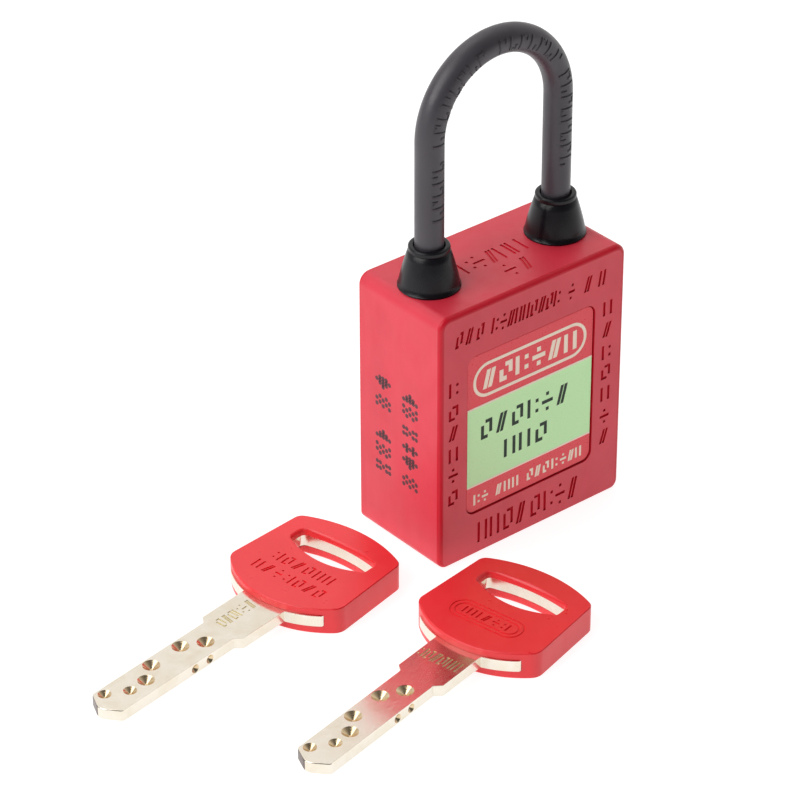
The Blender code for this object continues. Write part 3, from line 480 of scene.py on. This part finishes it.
# Columns of a dot-printed block, from its foot up; these shapes stand for no characters.
DOT_BLOCKS = ((21, 10, 21, 10), (4, 14, 31, 14), (10, 31, 10), (27, 4, 27), (10, 21, 10, 21), (31, 14, 4))


DOT_RADIUS = 0.42 * MM
DOT_PITCH = (0.828 * MM, 0.576 * MM)
# Each upright line: its place across the side, its blocks' feet, and its first block.
DOT_LINES = (
    (-4.1 * MM, (13.3, 16.4, 19.9, 26.2, 30.0), 3),
    (3.0 * MM, (13.3, 17.2, 20.3, 23.6, 27.3, 30.4), 0),
)


def dot_block(block, middle, foot):
    """The dots of one block; a block's columns stand one above another on the side."""
    return [
        circle(DOT_RADIUS, 12, (middle - (row - 2) * DOT_PITCH[0], foot + column * DOT_PITCH[1]))
        for column, pattern in enumerate(block)
        for row in range(5)
        if pattern >> row & 1
    ]


def build_side_print(paint):
    """Two upright lines of dot-printed blocks on the left side."""
    bm = bmesh.new()
    for middle, feet, first in DOT_LINES:
        for number, foot in enumerate(feet):
            block = DOT_BLOCKS[(number + first) % len(DOT_BLOCKS)]
            plates(bm, dot_block(block, middle, foot * MM), -0.02 * MM, 0.012 * MM)
    stand_for(to_object("case_dot_print", bm, (paint["dot_ink"],), LEFT), "padlock_body", "label_film")


# ---- label ----------------------------------------------------------------------------------
LABEL_HALF = (LABEL_HIGH.x - LABEL_LOW.x) / 2
LABEL_MIDDLE = (LABEL_HIGH.z + LABEL_LOW.z) / 2 - BASE.z
LABEL_TALL = (LABEL_HIGH.z - LABEL_LOW.z) / 2
LABEL_CENTRE = (LABEL_HIGH.x + LABEL_LOW.x) / 2 - BASE.x
LABEL_CORNER = 1.7 * MM
GREEN_LOW = LABEL_MIDDLE - LABEL_TALL + 5.3 * MM
GREEN_HIGH = LABEL_MIDDLE + LABEL_TALL - 10.3 * MM


def label_outline(growth):
    centre = (LABEL_CENTRE, LABEL_MIDDLE)
    return rounded(LABEL_HALF + growth, LABEL_TALL + growth, LABEL_CORNER + growth, 8, centre)


def label_band(level, half_height, corner):
    """A level band across the label."""
    return rounded(LABEL_HALF - 0.1 * MM, half_height, corner, 2, (LABEL_CENTRE, level))


def label_print(name, bm, material):
    """One ink of the label as its own piece."""
    stand_for(to_object(name, bm, (material,), FRONT), "padlock_body", "label_film")


def build_label(paint):
    """A red film with a green panel, an oval outline and plain marks, each ink a step higher."""
    surface = CASE_LOW.y - LABEL_LOW.y
    step = 0.02 * MM
    height = surface + 2 * step
    green_middle = (GREEN_HIGH + GREEN_LOW) / 2
    bm = bmesh.new()
    plates(bm, [label_outline(0.0)], surface - 0.2 * MM, surface)
    film = bevelled(to_object("label_film", bm, (paint["film"],), FRONT), 0.08 * MM, 3)
    stand_for(settle(film), "padlock_body", "label_film", "label")

    green = bmesh.new()
    panel = label_band(green_middle, (GREEN_HIGH - GREEN_LOW) / 2, 0.1 * MM)
    plates(green, [panel], surface - step, surface + step)
    label_print("label_green_panel", green, paint["green"])

    pale = bmesh.new()
    oval_centre = (LABEL_CENTRE - 0.1 * MM, LABEL_MIDDLE + LABEL_TALL - 5.45 * MM)
    outer = rounded(12.8 * MM, 3.4 * MM, 3.35 * MM, 12, oval_centre)
    inner = rounded(12.2 * MM, 2.8 * MM, 2.75 * MM, 12, oval_centre)
    oval = ((outer, surface), (outer, height), (inner, height), (inner, surface))
    skin(pale, [[(x, y, z) for x, y in line] for line, z in oval], closed=True)
    big = mark_row([-9.7, -6.0, -2.4, 1.4, 5.0, 8.6], oval_centre[1], 3.6 * MM, 2.9 * MM, 0.86 * MM, first=3)
    small_row = [-12.3, -10.4, -7.3, -5.4, -3.5, -0.1, 1.7, 3.6, 5.6, 7.6, 9.4, 11.1]
    small = mark_row(small_row, GREEN_LOW - 2.95 * MM, 2.1 * MM, 1.4 * MM, 0.42 * MM, first=1)
    borders = [label_band(level, 0.16 * MM, 0.05 * MM) for level in (GREEN_LOW, GREEN_HIGH)]
    plates(pale, big + small + borders, surface, height)
    label_print("label_pale_print", pale, paint["cream"])

    dark = bmesh.new()
    upper_row = [-10.2, -6.8, -3.2, 0.3, 3.6, 7.0]
    upper = mark_row(upper_row, green_middle + 2.75 * MM, 3.7 * MM, 2.5 * MM, 0.66 * MM)
    lower = mark_row([-4.9, -1.5, 2.3], green_middle - 3.0 * MM, 3.6 * MM, 2.6 * MM, 0.66 * MM, first=2)
    plates(dark, upper + lower, surface, height)
    label_print("label_dark_print", dark, paint["dark_ink"])


# ---- collars --------------------------------------------------------------------------------
COLLAR_LIP = 3.58 * MM
COLLAR_SWELL = 0.10 * MM
COLLAR_STEM = 3.8 * MM
COLLAR_STEM_DEPTH = 1.6 * MM


def collar_profile():
    """Half section, as (radius, height) above the case: flange, full cone, rounded lip, mouth, stem."""
    height = COLLAR_HIGH.z - CASE_HIGH.z
    base_radius = (COLLAR_HIGH.x - COLLAR_LOW.x) / 2
    mouth = BAR + 0.16 * MM
    bore = BAR + 0.12 * MM
    sunk = -0.02 * MM
    start = (base_radius - 0.12 * MM, 0.42 * MM)
    end = (COLLAR_LIP + 0.12 * MM, height - 1.25 * MM)
    profile = [(base_radius - 0.25 * MM, sunk), (base_radius, 0.08 * MM), (base_radius, 0.30 * MM), start]
    steps = 7
    for step in range(1, steps + 1):
        t = step / steps
        swell = COLLAR_SWELL * math.sin(math.pi * t)
        profile.append((start[0] + (end[0] - start[0]) * t + swell, start[1] + (end[1] - start[1]) * t))
    profile.append((COLLAR_LIP - 0.16 * MM, height - 1.00 * MM))
    profile += arc((COLLAR_LIP - 0.28 * MM, height - 0.78 * MM), 0.28 * MM, -80, 0, 5)
    profile += arc((COLLAR_LIP - 0.35 * MM, height - 0.35 * MM), 0.35 * MM, 5, 90, 6)
    profile += arc((mouth + 0.25 * MM, height - 0.25 * MM), 0.25 * MM, 90, 180, 5)
    profile += [(mouth, height - 1.3 * MM), (bore, height - 1.5 * MM), (bore, -COLLAR_STEM_DEPTH)]
    return profile + [(COLLAR_STEM, -COLLAR_STEM_DEPTH), (COLLAR_STEM, sunk)]


def build_collars(paint):
    for side, x in (("left", -LEG_X), ("right", LEG_X)):
        bm = bmesh.new()
        turned(bm, collar_profile(), 72, Vector((BASE.x + x, BASE.y, CASE_HIGH.z)))
        piece = to_object("collar_%s_rubber" % side, bm, (paint["collar"],))
        stand_for(settle(piece, 40.0), "padlock_body", "collar_rubber", "collar_" + side)


# ---- shackle --------------------------------------------------------------------------------
SHACKLE_SIDES = 56
ARCH_STEPS = 96
HEEL_BOTTOM = SHACKLE_LOW.z
TOE_END = 37.5 * MM
LEG_ROUND = 0.6 * MM
NECK_RADIUS = 1.3 * MM
NECK_LOW = HEEL_BOTTOM + 2.7 * MM
GAP = 0.3 * MM
PIN_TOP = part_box("shackle_stop_pin")[1].z
BOLT_LOW, BOLT_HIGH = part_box("lock_bolt")
TRAVEL = {joint["name"]: joint["range_m"][1] for joint in frame["joints"] if "range_m" in joint}


def bar_point(s, around, radius):
    """Point on the bar: s runs up the left leg from the case's top, over the arch and down."""
    straight = ARCH_CENTRE - CASE_HIGH.z
    turn = s - straight
    sweep = math.pi * LEG_X
    if turn <= 0:
        centre, outward = Vector((-LEG_X, 0, CASE_HIGH.z + s)), -X
    elif turn < sweep:
        angle = math.pi - turn / LEG_X
        outward = Vector((math.cos(angle), 0, math.sin(angle)))
        centre = Vector((0, 0, ARCH_CENTRE)) + outward * LEG_X
    else:
        centre, outward = Vector((LEG_X, 0, ARCH_CENTRE - (turn - sweep))), X
    offset = -Y * math.cos(around) + outward * math.sin(around)
    return Vector((BASE.x, BASE.y, 0)) + centre + offset * radius


def border(grid):
    """The outer ring of a grid of rows, in order."""
    first, last = grid[0], grid[-1]
    return [row[0] for row in grid[:-1]] + last[:-1] + [row[-1] for row in reversed(grid[1:])] + first[:0:-1]


def raised_mark(bm, start, end, low, high, rise):
    """A raised rib on the bar's front, between two places along it and two angles around it."""
    steps_s, steps_a = 3, 8

    def patch(radius, inset_s, inset_a):
        s0, s1, a0, a1 = start + inset_s, end - inset_s, low + inset_a, high - inset_a
        return [[bar_point(s0 + (s1 - s0) * i / steps_s, a0 + (a1 - a0) * j / steps_a, radius)
                 for j in range(steps_a + 1)] for i in range(steps_s + 1)]

    top = [[bm.verts.new(point) for point in row] for row in patch(BAR + rise, 0.12 * MM, 0.05)]
    root, side = (border(patch(BAR + level, 0.0, 0.0)) for level in (-0.1 * MM, rise * 0.5))
    rings = [[bm.verts.new(point) for point in ring] for ring in (root, side)] + [border(top)]
    count = len(rings[0])
    for low_ring, high_ring in zip(rings, rings[1:]):
        for i in range(count):
            j = (i + 1) % count
            bm.faces.new((low_ring[i], low_ring[j], high_ring[j], high_ring[i]))
    for row, after in zip(top, top[1:]):
        for j in range(steps_a):
            bm.faces.new((row[j], after[j], after[j + 1], row[j + 1]))
    bm.faces.new(list(reversed(rings[0])))


def bar_rings():
    """Rings along the bar: rounded heel, foot, neck, long leg, arch, short leg, rounded toe."""
    middle = Vector((BASE.x, BASE.y, 0))
    neck_high = PIN_TOP - TRAVEL["shackle_lift"] + GAP
    round_end = arc((BAR - LEG_ROUND, 0.0), LEG_ROUND, 270, 360, 5)
    stations = [(HEEL_BOTTOM + LEG_ROUND + z, radius) for radius, z in round_end]
    stations += [(NECK_LOW, BAR), (NECK_LOW, NECK_RADIUS), (neck_high, NECK_RADIUS), (neck_high, BAR)]
    rings = []
    for z, radius in stations:
        centre = middle + Vector((-LEG_X, 0, z))
        rings.append([centre + X * a + Y * b for a, b in circle(radius, SHACKLE_SIDES)])
    for step in range(ARCH_STEPS + 1):
        angle = math.pi * (1 - step / ARCH_STEPS)
        outward = Vector((math.cos(angle), 0, math.sin(angle)))
        centre = middle + Vector((0, 0, ARCH_CENTRE)) + outward * LEG_X
        rings.append([centre - outward * a + Y * b for a, b in circle(BAR, SHACKLE_SIDES)])
    for radius, z in reversed(round_end):
        centre = middle + Vector((LEG_X, 0, TOE_END + LEG_ROUND + z))
        rings.append([centre - X * a + Y * b for a, b in circle(radius, SHACKLE_SIDES)])
    return rings


def bar_cuts():
    """Front views of the bolt's notch with its ramp, and of the flat that passes the stop pin."""
    nose = BOLT_HIGH.x - BASE.x + GAP
    run = nose - (LEG_X - BAR) + GAP
    low, high = BOLT_LOW.z - GAP, BOLT_HIGH.z + GAP
    foot = low - run * TRAVEL["shackle_lift"] / TRAVEL["bolt_slide"]
    notch = [(nose, low), (nose, high), (nose - run, high), (nose - run, foot)]
    side, flat_low, flat_high = NECK_RADIUS - LEG_X, NECK_LOW + 1 * MM, PIN_TOP + 2 * GAP
    return notch, [(side, flat_low), (0, flat_low), (0, flat_high), (side, flat_high)]


def build_shackle(paint):
    """The swept bar with its foot, neck, flat and notch."""
    bm = bmesh.new()
    skin(bm, bar_rings())
    bar = to_object("shackle_bar", bm, (paint["shackle"],))
    cuts = bmesh.new()
    plates(cuts, bar_cuts(), -10 * MM, 10 * MM)
    drawing = face_frame(Vector((BASE.x, BASE.y, 0)), X, Z)
    carve(bar, to_object("shackle_cuts", cuts, (paint["shackle"],), drawing))
    stand_for(settle(bar, 35.0), "shackle_body", "shackle_nylon", "shackle")


RIB_START = 13.0 * MM
RIB_END = 2 * (ARCH_CENTRE - CASE_HIGH.z) + math.pi * LEG_X - 13.2 * MM
RIB_PLACES = 31
RIB_GAPS = (5, 14, 22)
RIB_STROKE = 0.42 * MM
RIB_RISE = 0.15 * MM
RIB_SECOND = 1.25 * MM


def build_ribs(paint):
    """Plain raised ribs on the bar's front: at each place one across, half of one, and often a link."""
    pitch = (RIB_END - RIB_START) / RIB_PLACES
    reach = 1.3 * MM / BAR
    ribs = bmesh.new()
    for number in range(RIB_PLACES):
        if number in RIB_GAPS:
            continue
        s = RIB_START + pitch * number
        second = s + RIB_SECOND
        side = 1 if number % 2 else -1
        near, far = sorted((side * 0.10, side * reach))
        raised_mark(ribs, s, s + RIB_STROKE, -reach, reach, RIB_RISE)
        raised_mark(ribs, second, second + RIB_STROKE, near, far, RIB_RISE)
        if number % 3:
            low, high = sorted((side * reach, side * (reach - 0.17)))
            raised_mark(ribs, s + RIB_STROKE, second, low, high, RIB_RISE)
    # The ribs take the darker grey: painted shade.
    piece = settle(to_object("shackle_ribs", ribs, (paint["rib"],)), 40.0)
    stand_for(piece, "shackle_body", "shackle_nylon")


# ---- keys -----------------------------------------------------------------------------------
BLADE_BOTTOM, BLADE_TOP = BLADE_LOW.z, BLADE_HIGH.z
NECK_HALF = 4.65 * MM
NECK_LENGTH = 9.1 * MM
SHOULDER = 10.2 * MM
BLADE_HALF = 3.45 * MM
BLADE_LENGTH = 38.2 * MM
TIP_POINT = 1.6 * MM
# Distance from the bow, offset across the blade, and radius at the surface.
DIMPLES = (
    (14.0 * MM, -0.6 * MM, 1.50 * MM),
    (17.6 * MM, 1.7 * MM, 1.50 * MM),
    (24.5 * MM, 1.7 * MM, 1.50 * MM),
    (28.0 * MM, -0.5 * MM, 1.45 * MM),
    (31.7 * MM, -0.5 * MM, 1.15 * MM),
    (35.1 * MM, 1.95 * MM, 1.15 * MM),
)
SIDE_DIMPLES = (16.0 * MM, 19.5 * MM)
# Each long side of the bow and of the ring slot is an arc through a corner and an apex.
BOW_NEAR = (6.2 * MM, 12.64 * MM)
BOW_FAR = (22.6 * MM, 11.58 * MM)
BOW_NEAR_APEX = 0.62 * MM
BOW_FAR_APEX = 25.42 * MM
WINDOW_HALF = 10.5 * MM
SLOT_NEAR = (16.1 * MM, 6.8 * MM)
SLOT_NEAR_APEX = 14.7 * MM
SLOT_FAR = (20.2 * MM, 6.9 * MM)
SLOT_FAR_APEX = 20.9 * MM
SLOT_END = 8.2 * MM
STAMP_DEPTH = 0.07 * MM
BOW_MARK_DEPTH = 0.18 * MM
HOOP_DEPTH = 0.16 * MM
# The bow's near edge keeps the colour of its top up to this distance from the blade; the other rounded edges take
# the darker red of painted shade.
BOW_PALE_EDGE = 5.2 * MM
# The rim of the ring slot: how far down and how far out each ring of its tool is.
SLOT_RIM = ((0.62, -0.03), (0.42, 0.05), (0.22, 0.19), (0.08, 0.36), (0.0, 0.56), (-0.1, 0.9))


def bulge(corner, apex, count):
    """Points of a shallow arc from (x, -y) over (apex, 0) to (x, y)."""
    x, half = corner
    rise = x - apex
    radius = (half * half + rise * rise) / (2 * abs(rise))
    centre = apex + math.copysign(radius, rise)
    sweep = math.asin(half / radius)
    side = math.copysign(1.0, -rise)
    angles = [sweep * (2.0 * i / count - 1.0) for i in range(count + 1)]
    return [(centre + side * radius * math.cos(a), radius * math.sin(a)) for a in angles]


def fillet(before, corner, after, radius, steps=6):
    """Round one corner of an outline with a smooth curve."""
    corner = Vector(corner)
    first = corner + (Vector(before) - corner).normalized() * radius
    last = corner + (Vector(after) - corner).normalized() * radius
    points = []
    for i in range(steps + 1):
        t = i / steps
        point = first * (1 - t) ** 2 + corner * 2 * t * (1 - t) + last * t ** 2
        points.append((point.x, point.y))
    return points


def mirrored(points):
    """The same points on the other side of the key's middle line, in reverse order."""
    return [(x, -y) for x, y in reversed(points)]


def bow_outline():
    """The bow from above, its blade towards -x: bulging near and far edges, straight sides."""
    near = bulge(BOW_NEAR, BOW_NEAR_APEX, 40)[2:-2]
    far = bulge(BOW_FAR, BOW_FAR_APEX, 32)[2:-2]
    side = fillet(far[-1], BOW_FAR, BOW_NEAR, 1.1 * MM) + fillet(BOW_FAR, BOW_NEAR, near[-1], 1.2 * MM)
    return list(reversed(near)) + mirrored(side) + far + side


def slot_outline(growth):
    """The key ring's slot: bulging long sides and blunt round ends."""
    near = bulge((SLOT_NEAR[0], SLOT_NEAR[1] + growth), SLOT_NEAR_APEX - growth, 24)
    far = bulge((SLOT_FAR[0], SLOT_FAR[1] + growth), SLOT_FAR_APEX + growth, 24)
    tall = SLOT_END + growth
    middle = ((near[-1][0] + far[-1][0]) / 2, tall)
    end = fillet(far[-1], (far[-1][0] - 0.1 * MM, tall), middle, 1.2 * MM, 7)
    end += fillet(middle, (near[-1][0] + 0.3 * MM, tall), near[-1], 1.2 * MM, 7)
    return list(reversed(near[1:-1])) + mirrored(end) + far[1:-1] + end


def blade_outline(pull):
    """Head, neck and blade; the metal head is almost flush with both windows of the bow."""
    near = bulge((3.8 * MM, WINDOW_HALF - 0.12 * MM), BOW_NEAR_APEX - 0.40 * MM, 32)
    near_upper = [p for p in near if p[1] > NECK_HALF + 0.1 * MM]
    far = bulge((BOW_FAR[0] - 1.4 * MM, BOW_FAR[1] - 2.4 * MM), BOW_FAR_APEX - 1.7 * MM, 12)
    tip = pull - BLADE_LENGTH
    upper = [(tip, 0.45 * MM), (tip + 0.25 * MM, 1.0 * MM), (tip + TIP_POINT, BLADE_HALF - 0.25 * MM)]
    upper += [(tip + TIP_POINT + 0.35 * MM, BLADE_HALF), (-SHOULDER, BLADE_HALF), (-NECK_LENGTH, NECK_HALF)]
    upper += [(near_upper[0][0] - 0.05 * MM, NECK_HALF)] + near_upper + [(6.3 * MM, 10.8 * MM)]
    return upper + list(reversed(far)) + mirrored(upper)


def cone(bm, place, facing, radius, depth, count=40, index=0):
    """A blunt countersink tool at a place, its mouth towards a direction."""
    turn = facing.to_track_quat("Z", "Y").to_matrix().to_4x4()
    matrix = Matrix.Translation(place) @ turn
    profile = ((0.16 * radius, -depth), (radius, 0.0), (radius + 0.05 * MM, 0.5 * MM))
    rings = [[matrix @ Vector((x, y, h)) for x, y in circle(r, count)] for r, h in profile]
    skin(bm, rings, index=index)


def build_blade(name, matrix, paint, metal, stamp):
    """The metal head, neck and dimpled blade, with a stamped line and one tip facet painted dark as shade."""
    paints = (metal, paint["dimple"], paint["stamp"], paint["tip"])
    chamfer = 0.12 * MM
    heights = (BLADE_BOTTOM, BLADE_BOTTOM + chamfer, BLADE_TOP - chamfer, BLADE_TOP)
    pulls = (chamfer, 0, 0, chamfer)
    bm = bmesh.new()
    skin(bm, [[(x, y, z) for x, y in blade_outline(pull)] for z, pull in zip(heights, pulls)])
    blade = bevelled(to_object(name + "_metal", bm, paints), 0.12 * MM, 2, 30.0)

    cuts = bmesh.new()
    for along, across, radius in DIMPLES:
        cone(cuts, Vector((-along, across, BLADE_TOP)), Z, radius, 0.62 * radius, index=1)
    middle = (BLADE_TOP + BLADE_BOTTOM) / 2
    for along in SIDE_DIMPLES:
        cone(cuts, Vector((-along, -BLADE_HALF, middle)), -Y, 0.80 * MM, 0.55 * MM, 28, index=1)
    carve(blade, to_object("dimple_cuts", cuts, paints))
    slot = bmesh.new()
    plates(slot, [slot_outline(0.1 * MM)], -1 * MM, 8 * MM)
    carve(blade, to_object("slot_cut", slot, paints))
    stamps = bmesh.new()
    plates(stamps, stamp(), BLADE_TOP - STAMP_DEPTH, BLADE_TOP + 0.5 * MM, index=2)
    carve(blade, to_object("stamp_cut", stamps, paints))
    # One side facet of the tip takes the dark metal: painted shade.
    for face in blade.data.polygons:
        if face.center.x < TIP_POINT - BLADE_LENGTH and face.normal.x < -0.6 and face.normal.y > 0.2:
            face.material_index = 3
    blade.data.transform(matrix)
    stand_for(settle(blade, 25.0), name + "_body", "key_metal", name + "_blade")


def across(marks):
    """Turn marks a quarter, so that their line runs across the key."""
    return [[(-y, x) for x, y in mark] for mark in marks]


def stamp_along():
    """A stamped line of plain marks along the neck."""
    return mark_row([-8.3, -6.9, -5.5, -4.1, -2.7, -1.3], 1.1 * MM, 2.5 * MM, 1.15 * MM, 0.30 * MM)


def stamp_across():
    """A stamped line of plain marks across the neck."""
    row = [-3.2, -1.8, -0.4, 1.0, 2.4, 3.8]
    return across(mark_row(row, 3.8 * MM, 2.6 * MM, 1.15 * MM, 0.34 * MM, first=2))


def build_bow(name, matrix, paint, relief):
    """The moulded bow: room for the metal head, a ring slot with rounded rims, and its relief."""
    paints = (paint["bow"], paint["bow_mark_shade"], paint["bow_edge_shade"])
    bm = bmesh.new()
    plates(bm, [bow_outline()], 0.0, BOW_TOP)
    weigh(bm, lambda point: 1.0 - 0.5 * min(1.0, max(0.0, (point.x - 3.2 * MM) / (2.2 * MM))))
    # The bevel's faces take the darker edge red, which is painted shade.
    bow = bevelled(to_object(name + "_grip", bm, paints), 1.0 * MM, 5, material=2, weighted=True)
    cuts = bmesh.new()
    room = [(6.4 * MM, 11.1 * MM), (4.9 * MM, WINDOW_HALF), (-4.0 * MM, WINDOW_HALF)]
    far = bulge((BOW_FAR[0] - 1.0 * MM, BOW_FAR[1] - 1.8 * MM), BOW_FAR_APEX - 1.3 * MM, 12)
    plates(cuts, [room + mirrored(room) + far], BLADE_BOTTOM - 0.03 * MM, BLADE_TOP + 0.03 * MM)
    carve(bow, to_object("head_room", cuts, paints))
    # Near the blade the rounded edge goes back to the top's red, without painted shade.
    for face in bow.data.polygons:
        if face.material_index == 2 and face.center.x < BOW_PALE_EDGE:
            face.material_index = 0
    slot = bmesh.new()
    plates(slot, [slot_outline(0.0)], -1 * MM, 8 * MM)
    carve(bow, to_object("ring_slot", slot, paints))
    for surface, way in ((BOW_TOP, 1), (0.0, -1)):
        rim = bmesh.new()
        skin(rim, [[(x, y, surface - way * depth * MM) for x, y in slot_outline(growth * MM)]
                   for depth, growth in SLOT_RIM])
        carve(bow, to_object("slot_rim", rim, paints))
    carve(bow, to_object("bow_marks", relief(), paints))
    bow.data.transform(matrix)
    stand_for(settle(bow, 30.0), name + "_body", "bow_plastic", name + "_bow")


def engraved_rows():
    """Cuts for two sunk lines of plain marks across the bow."""
    near_row = [-6.9, -4.6, -2.4, -0.1, 2.2, 4.6, 6.9]
    far_row = [-5.6, -3.4, -1.1, 1.2, 3.5, 5.8]
    rows = mark_row(near_row, -7.1 * MM, 2.5 * MM, 1.5 * MM, 0.36 * MM)
    rows += mark_row(far_row, -11.0 * MM, 2.5 * MM, 1.5 * MM, 0.36 * MM, first=2)
    cuts = bmesh.new()
    # The sunk marks take the slightly darker red: painted shade in the grooves.
    plates(cuts, across(rows), BOW_TOP - BOW_MARK_DEPTH, BOW_TOP + PROUD, index=1)
    return cuts


def raised_hoop():
    """Cuts for a hoop that is left standing between two grooves, with sunk plain marks inside it."""
    middle = (8.7 * MM, 0.0)
    width = 0.32
    low, high = BOW_TOP - HOOP_DEPTH, BOW_TOP + 0.3 * MM
    cuts = bmesh.new()
    for half_x, half_y, radius in ((2.6, 7.2, 2.5), (1.75, 6.35, 1.7)):
        outer = rounded(half_x * MM, half_y * MM, radius * MM, 10, middle)
        inner = rounded((half_x - width) * MM, (half_y - width) * MM, (radius - 0.3) * MM, 10, middle)
        section = ((outer, low), (outer, high), (inner, high), (inner, low))
        skin(cuts, [[(x, y, z) for x, y in line] for line, z in section], closed=True)
    marks = mark_row([-3.9, -1.9, 0.1, 2.1, 4.1], -8.7 * MM, 1.9 * MM, 1.3 * MM, 0.34 * MM, first=1)
    # The marks inside the hoop take the slightly darker red: painted shade in the grooves.
    plates(cuts, across(marks), BOW_TOP - 0.2 * MM, high, index=1)
    return cuts


def build_keys(paint):
    extras = {"key_1": (engraved_rows, stamp_along), "key_2": (raised_hoop, stamp_across)}
    for name, place, heading in KEYS:
        relief, stamp = extras[name]
        matrix = Matrix.Translation(BASE + place) @ Matrix.Rotation(heading, 4, "Z")
        metal = polished(name + "_nickel", (0.86, 0.80, 0.70), (0.80, 0.72, 0.58), 0.15, heading)
        build_blade(name, matrix, paint, metal, stamp)
        build_bow(name, matrix, paint, relief)


# ---- carried-over CAD nodes -----------------------------------------------------------------
def paint_frame(paint):
    """Materials for the CAD nodes that stay: the base and everything inside."""
    by_slot = {
        "red_nylon": "case",
        "bow_plastic": "bow",
        "collar_rubber": "collar",
        "shackle_nylon": "shackle",
        "label_film": "film",
        "zinc_alloy": "zinc",
        "brass": "brass",
        "steel": "steel",
        "key_metal": "steel",
    }
    for subpart in frame["record"]["subparts"]:
        node = frame["nodes"][subpart["node"]]
        node.data.materials.clear()
        node.data.materials.append(paint[by_slot[subpart["material_slot"]]])


# ---- floor, light and camera ----------------------------------------------------------------
def build_stage():
    """A pale sheet lit from beneath, as on a product table."""
    surface = Surface("pale_floor", (0.32, 0.32, 0.32), 0.7, Emission_Color=(1.0, 1.0, 1.0, 1.0),
                      Emission_Strength=0.86, Specular_IOR_Level=0.1)
    surface.tint(surface.span(surface.noise(60 * MM, 3.0), 0.3, 0.8), (0.36, 0.36, 0.36))
    surface.bump(surface.noise(0.8 * MM, 2.0), 0.004 * MM)
    bm = bmesh.new()
    bmesh.ops.create_grid(bm, x_segments=8, y_segments=8, size=3.0)
    floor = to_object("floor", bm, (surface.material,))
    floor.location.z = -0.02 * MM


def area_light(name, direction, distance, size, power):
    """A square softbox that looks at the middle of the case."""
    data = bpy.data.lights.new(name, "AREA")
    data.shape = "SQUARE"
    data.size = size
    data.energy = power
    light = bpy.data.objects.new(name, data)
    way = Vector(direction).normalized()
    light.location = BASE + Vector((0, 0, 30 * MM)) + way * distance
    light.rotation_euler = way.to_track_quat("Z", "Y").to_euler()
    bpy.context.scene.collection.objects.link(light)


def build_light():
    """A studio that is bright behind the padlock and dim on the camera's side."""
    world = bpy.data.worlds.new("studio")
    world.use_nodes = True
    nodes, links = world.node_tree.nodes, world.node_tree.links
    direction = nodes.new("ShaderNodeTexCoord").outputs["Generated"]
    toward = nodes.new("ShaderNodeVectorMath")
    toward.operation = "DOT_PRODUCT"
    toward.inputs[1].default_value = (0.62, 0.75, 0.10)
    links.new(direction, toward.inputs[0])
    level = nodes.new("ShaderNodeMapRange")
    level.interpolation_type = "SMOOTHSTEP"
    level.inputs["From Min"].default_value = -0.35
    level.inputs["From Max"].default_value = 0.85
    level.inputs["To Min"].default_value = 0.085
    level.inputs["To Max"].default_value = 0.95
    links.new(toward.outputs["Value"], level.inputs["Value"])
    backdrop = nodes["Background"]
    backdrop.inputs["Color"].default_value = (1.0, 0.98, 0.96, 1.0)
    links.new(level.outputs["Result"], backdrop.inputs["Strength"])
    bpy.context.scene.world = world
    area_light("key_softbox", (-0.76, 0.12, 0.64), 1.2, 1.0, 11.0)
    area_light("top_softbox", (0.05, 0.45, 0.89), 1.2, 0.8, 1.8)
    bpy.context.scene.view_settings.view_transform = "Standard"


def build_camera():
    """A long lens to the left of the label side, looking down on it."""
    data = bpy.data.cameras.new("camera")
    data.lens = 165.3
    data.sensor_width = 36.0
    data.clip_start = 0.01
    data.shift_x = -0.0155
    data.shift_y = -0.0008
    camera = bpy.data.objects.new("camera", data)
    place = Vector((-357.02, -404.57, 359.75)) * MM
    target = Vector((-17.75, 0.0, 28.35)) * MM
    camera.location = BASE + place
    camera.rotation_euler = (target - place).to_track_quat("-Z", "Y").to_euler()
    bpy.context.scene.collection.objects.link(camera)
    bpy.context.scene.camera = camera


def main():
    paint = make_materials()
    paint_frame(paint)
    build_case(paint)
    build_side_print(paint)
    build_label(paint)
    build_collars(paint)
    build_shackle(paint)
    build_ribs(paint)
    build_keys(paint)
    build_stage()
    build_light()
    build_camera()


main()
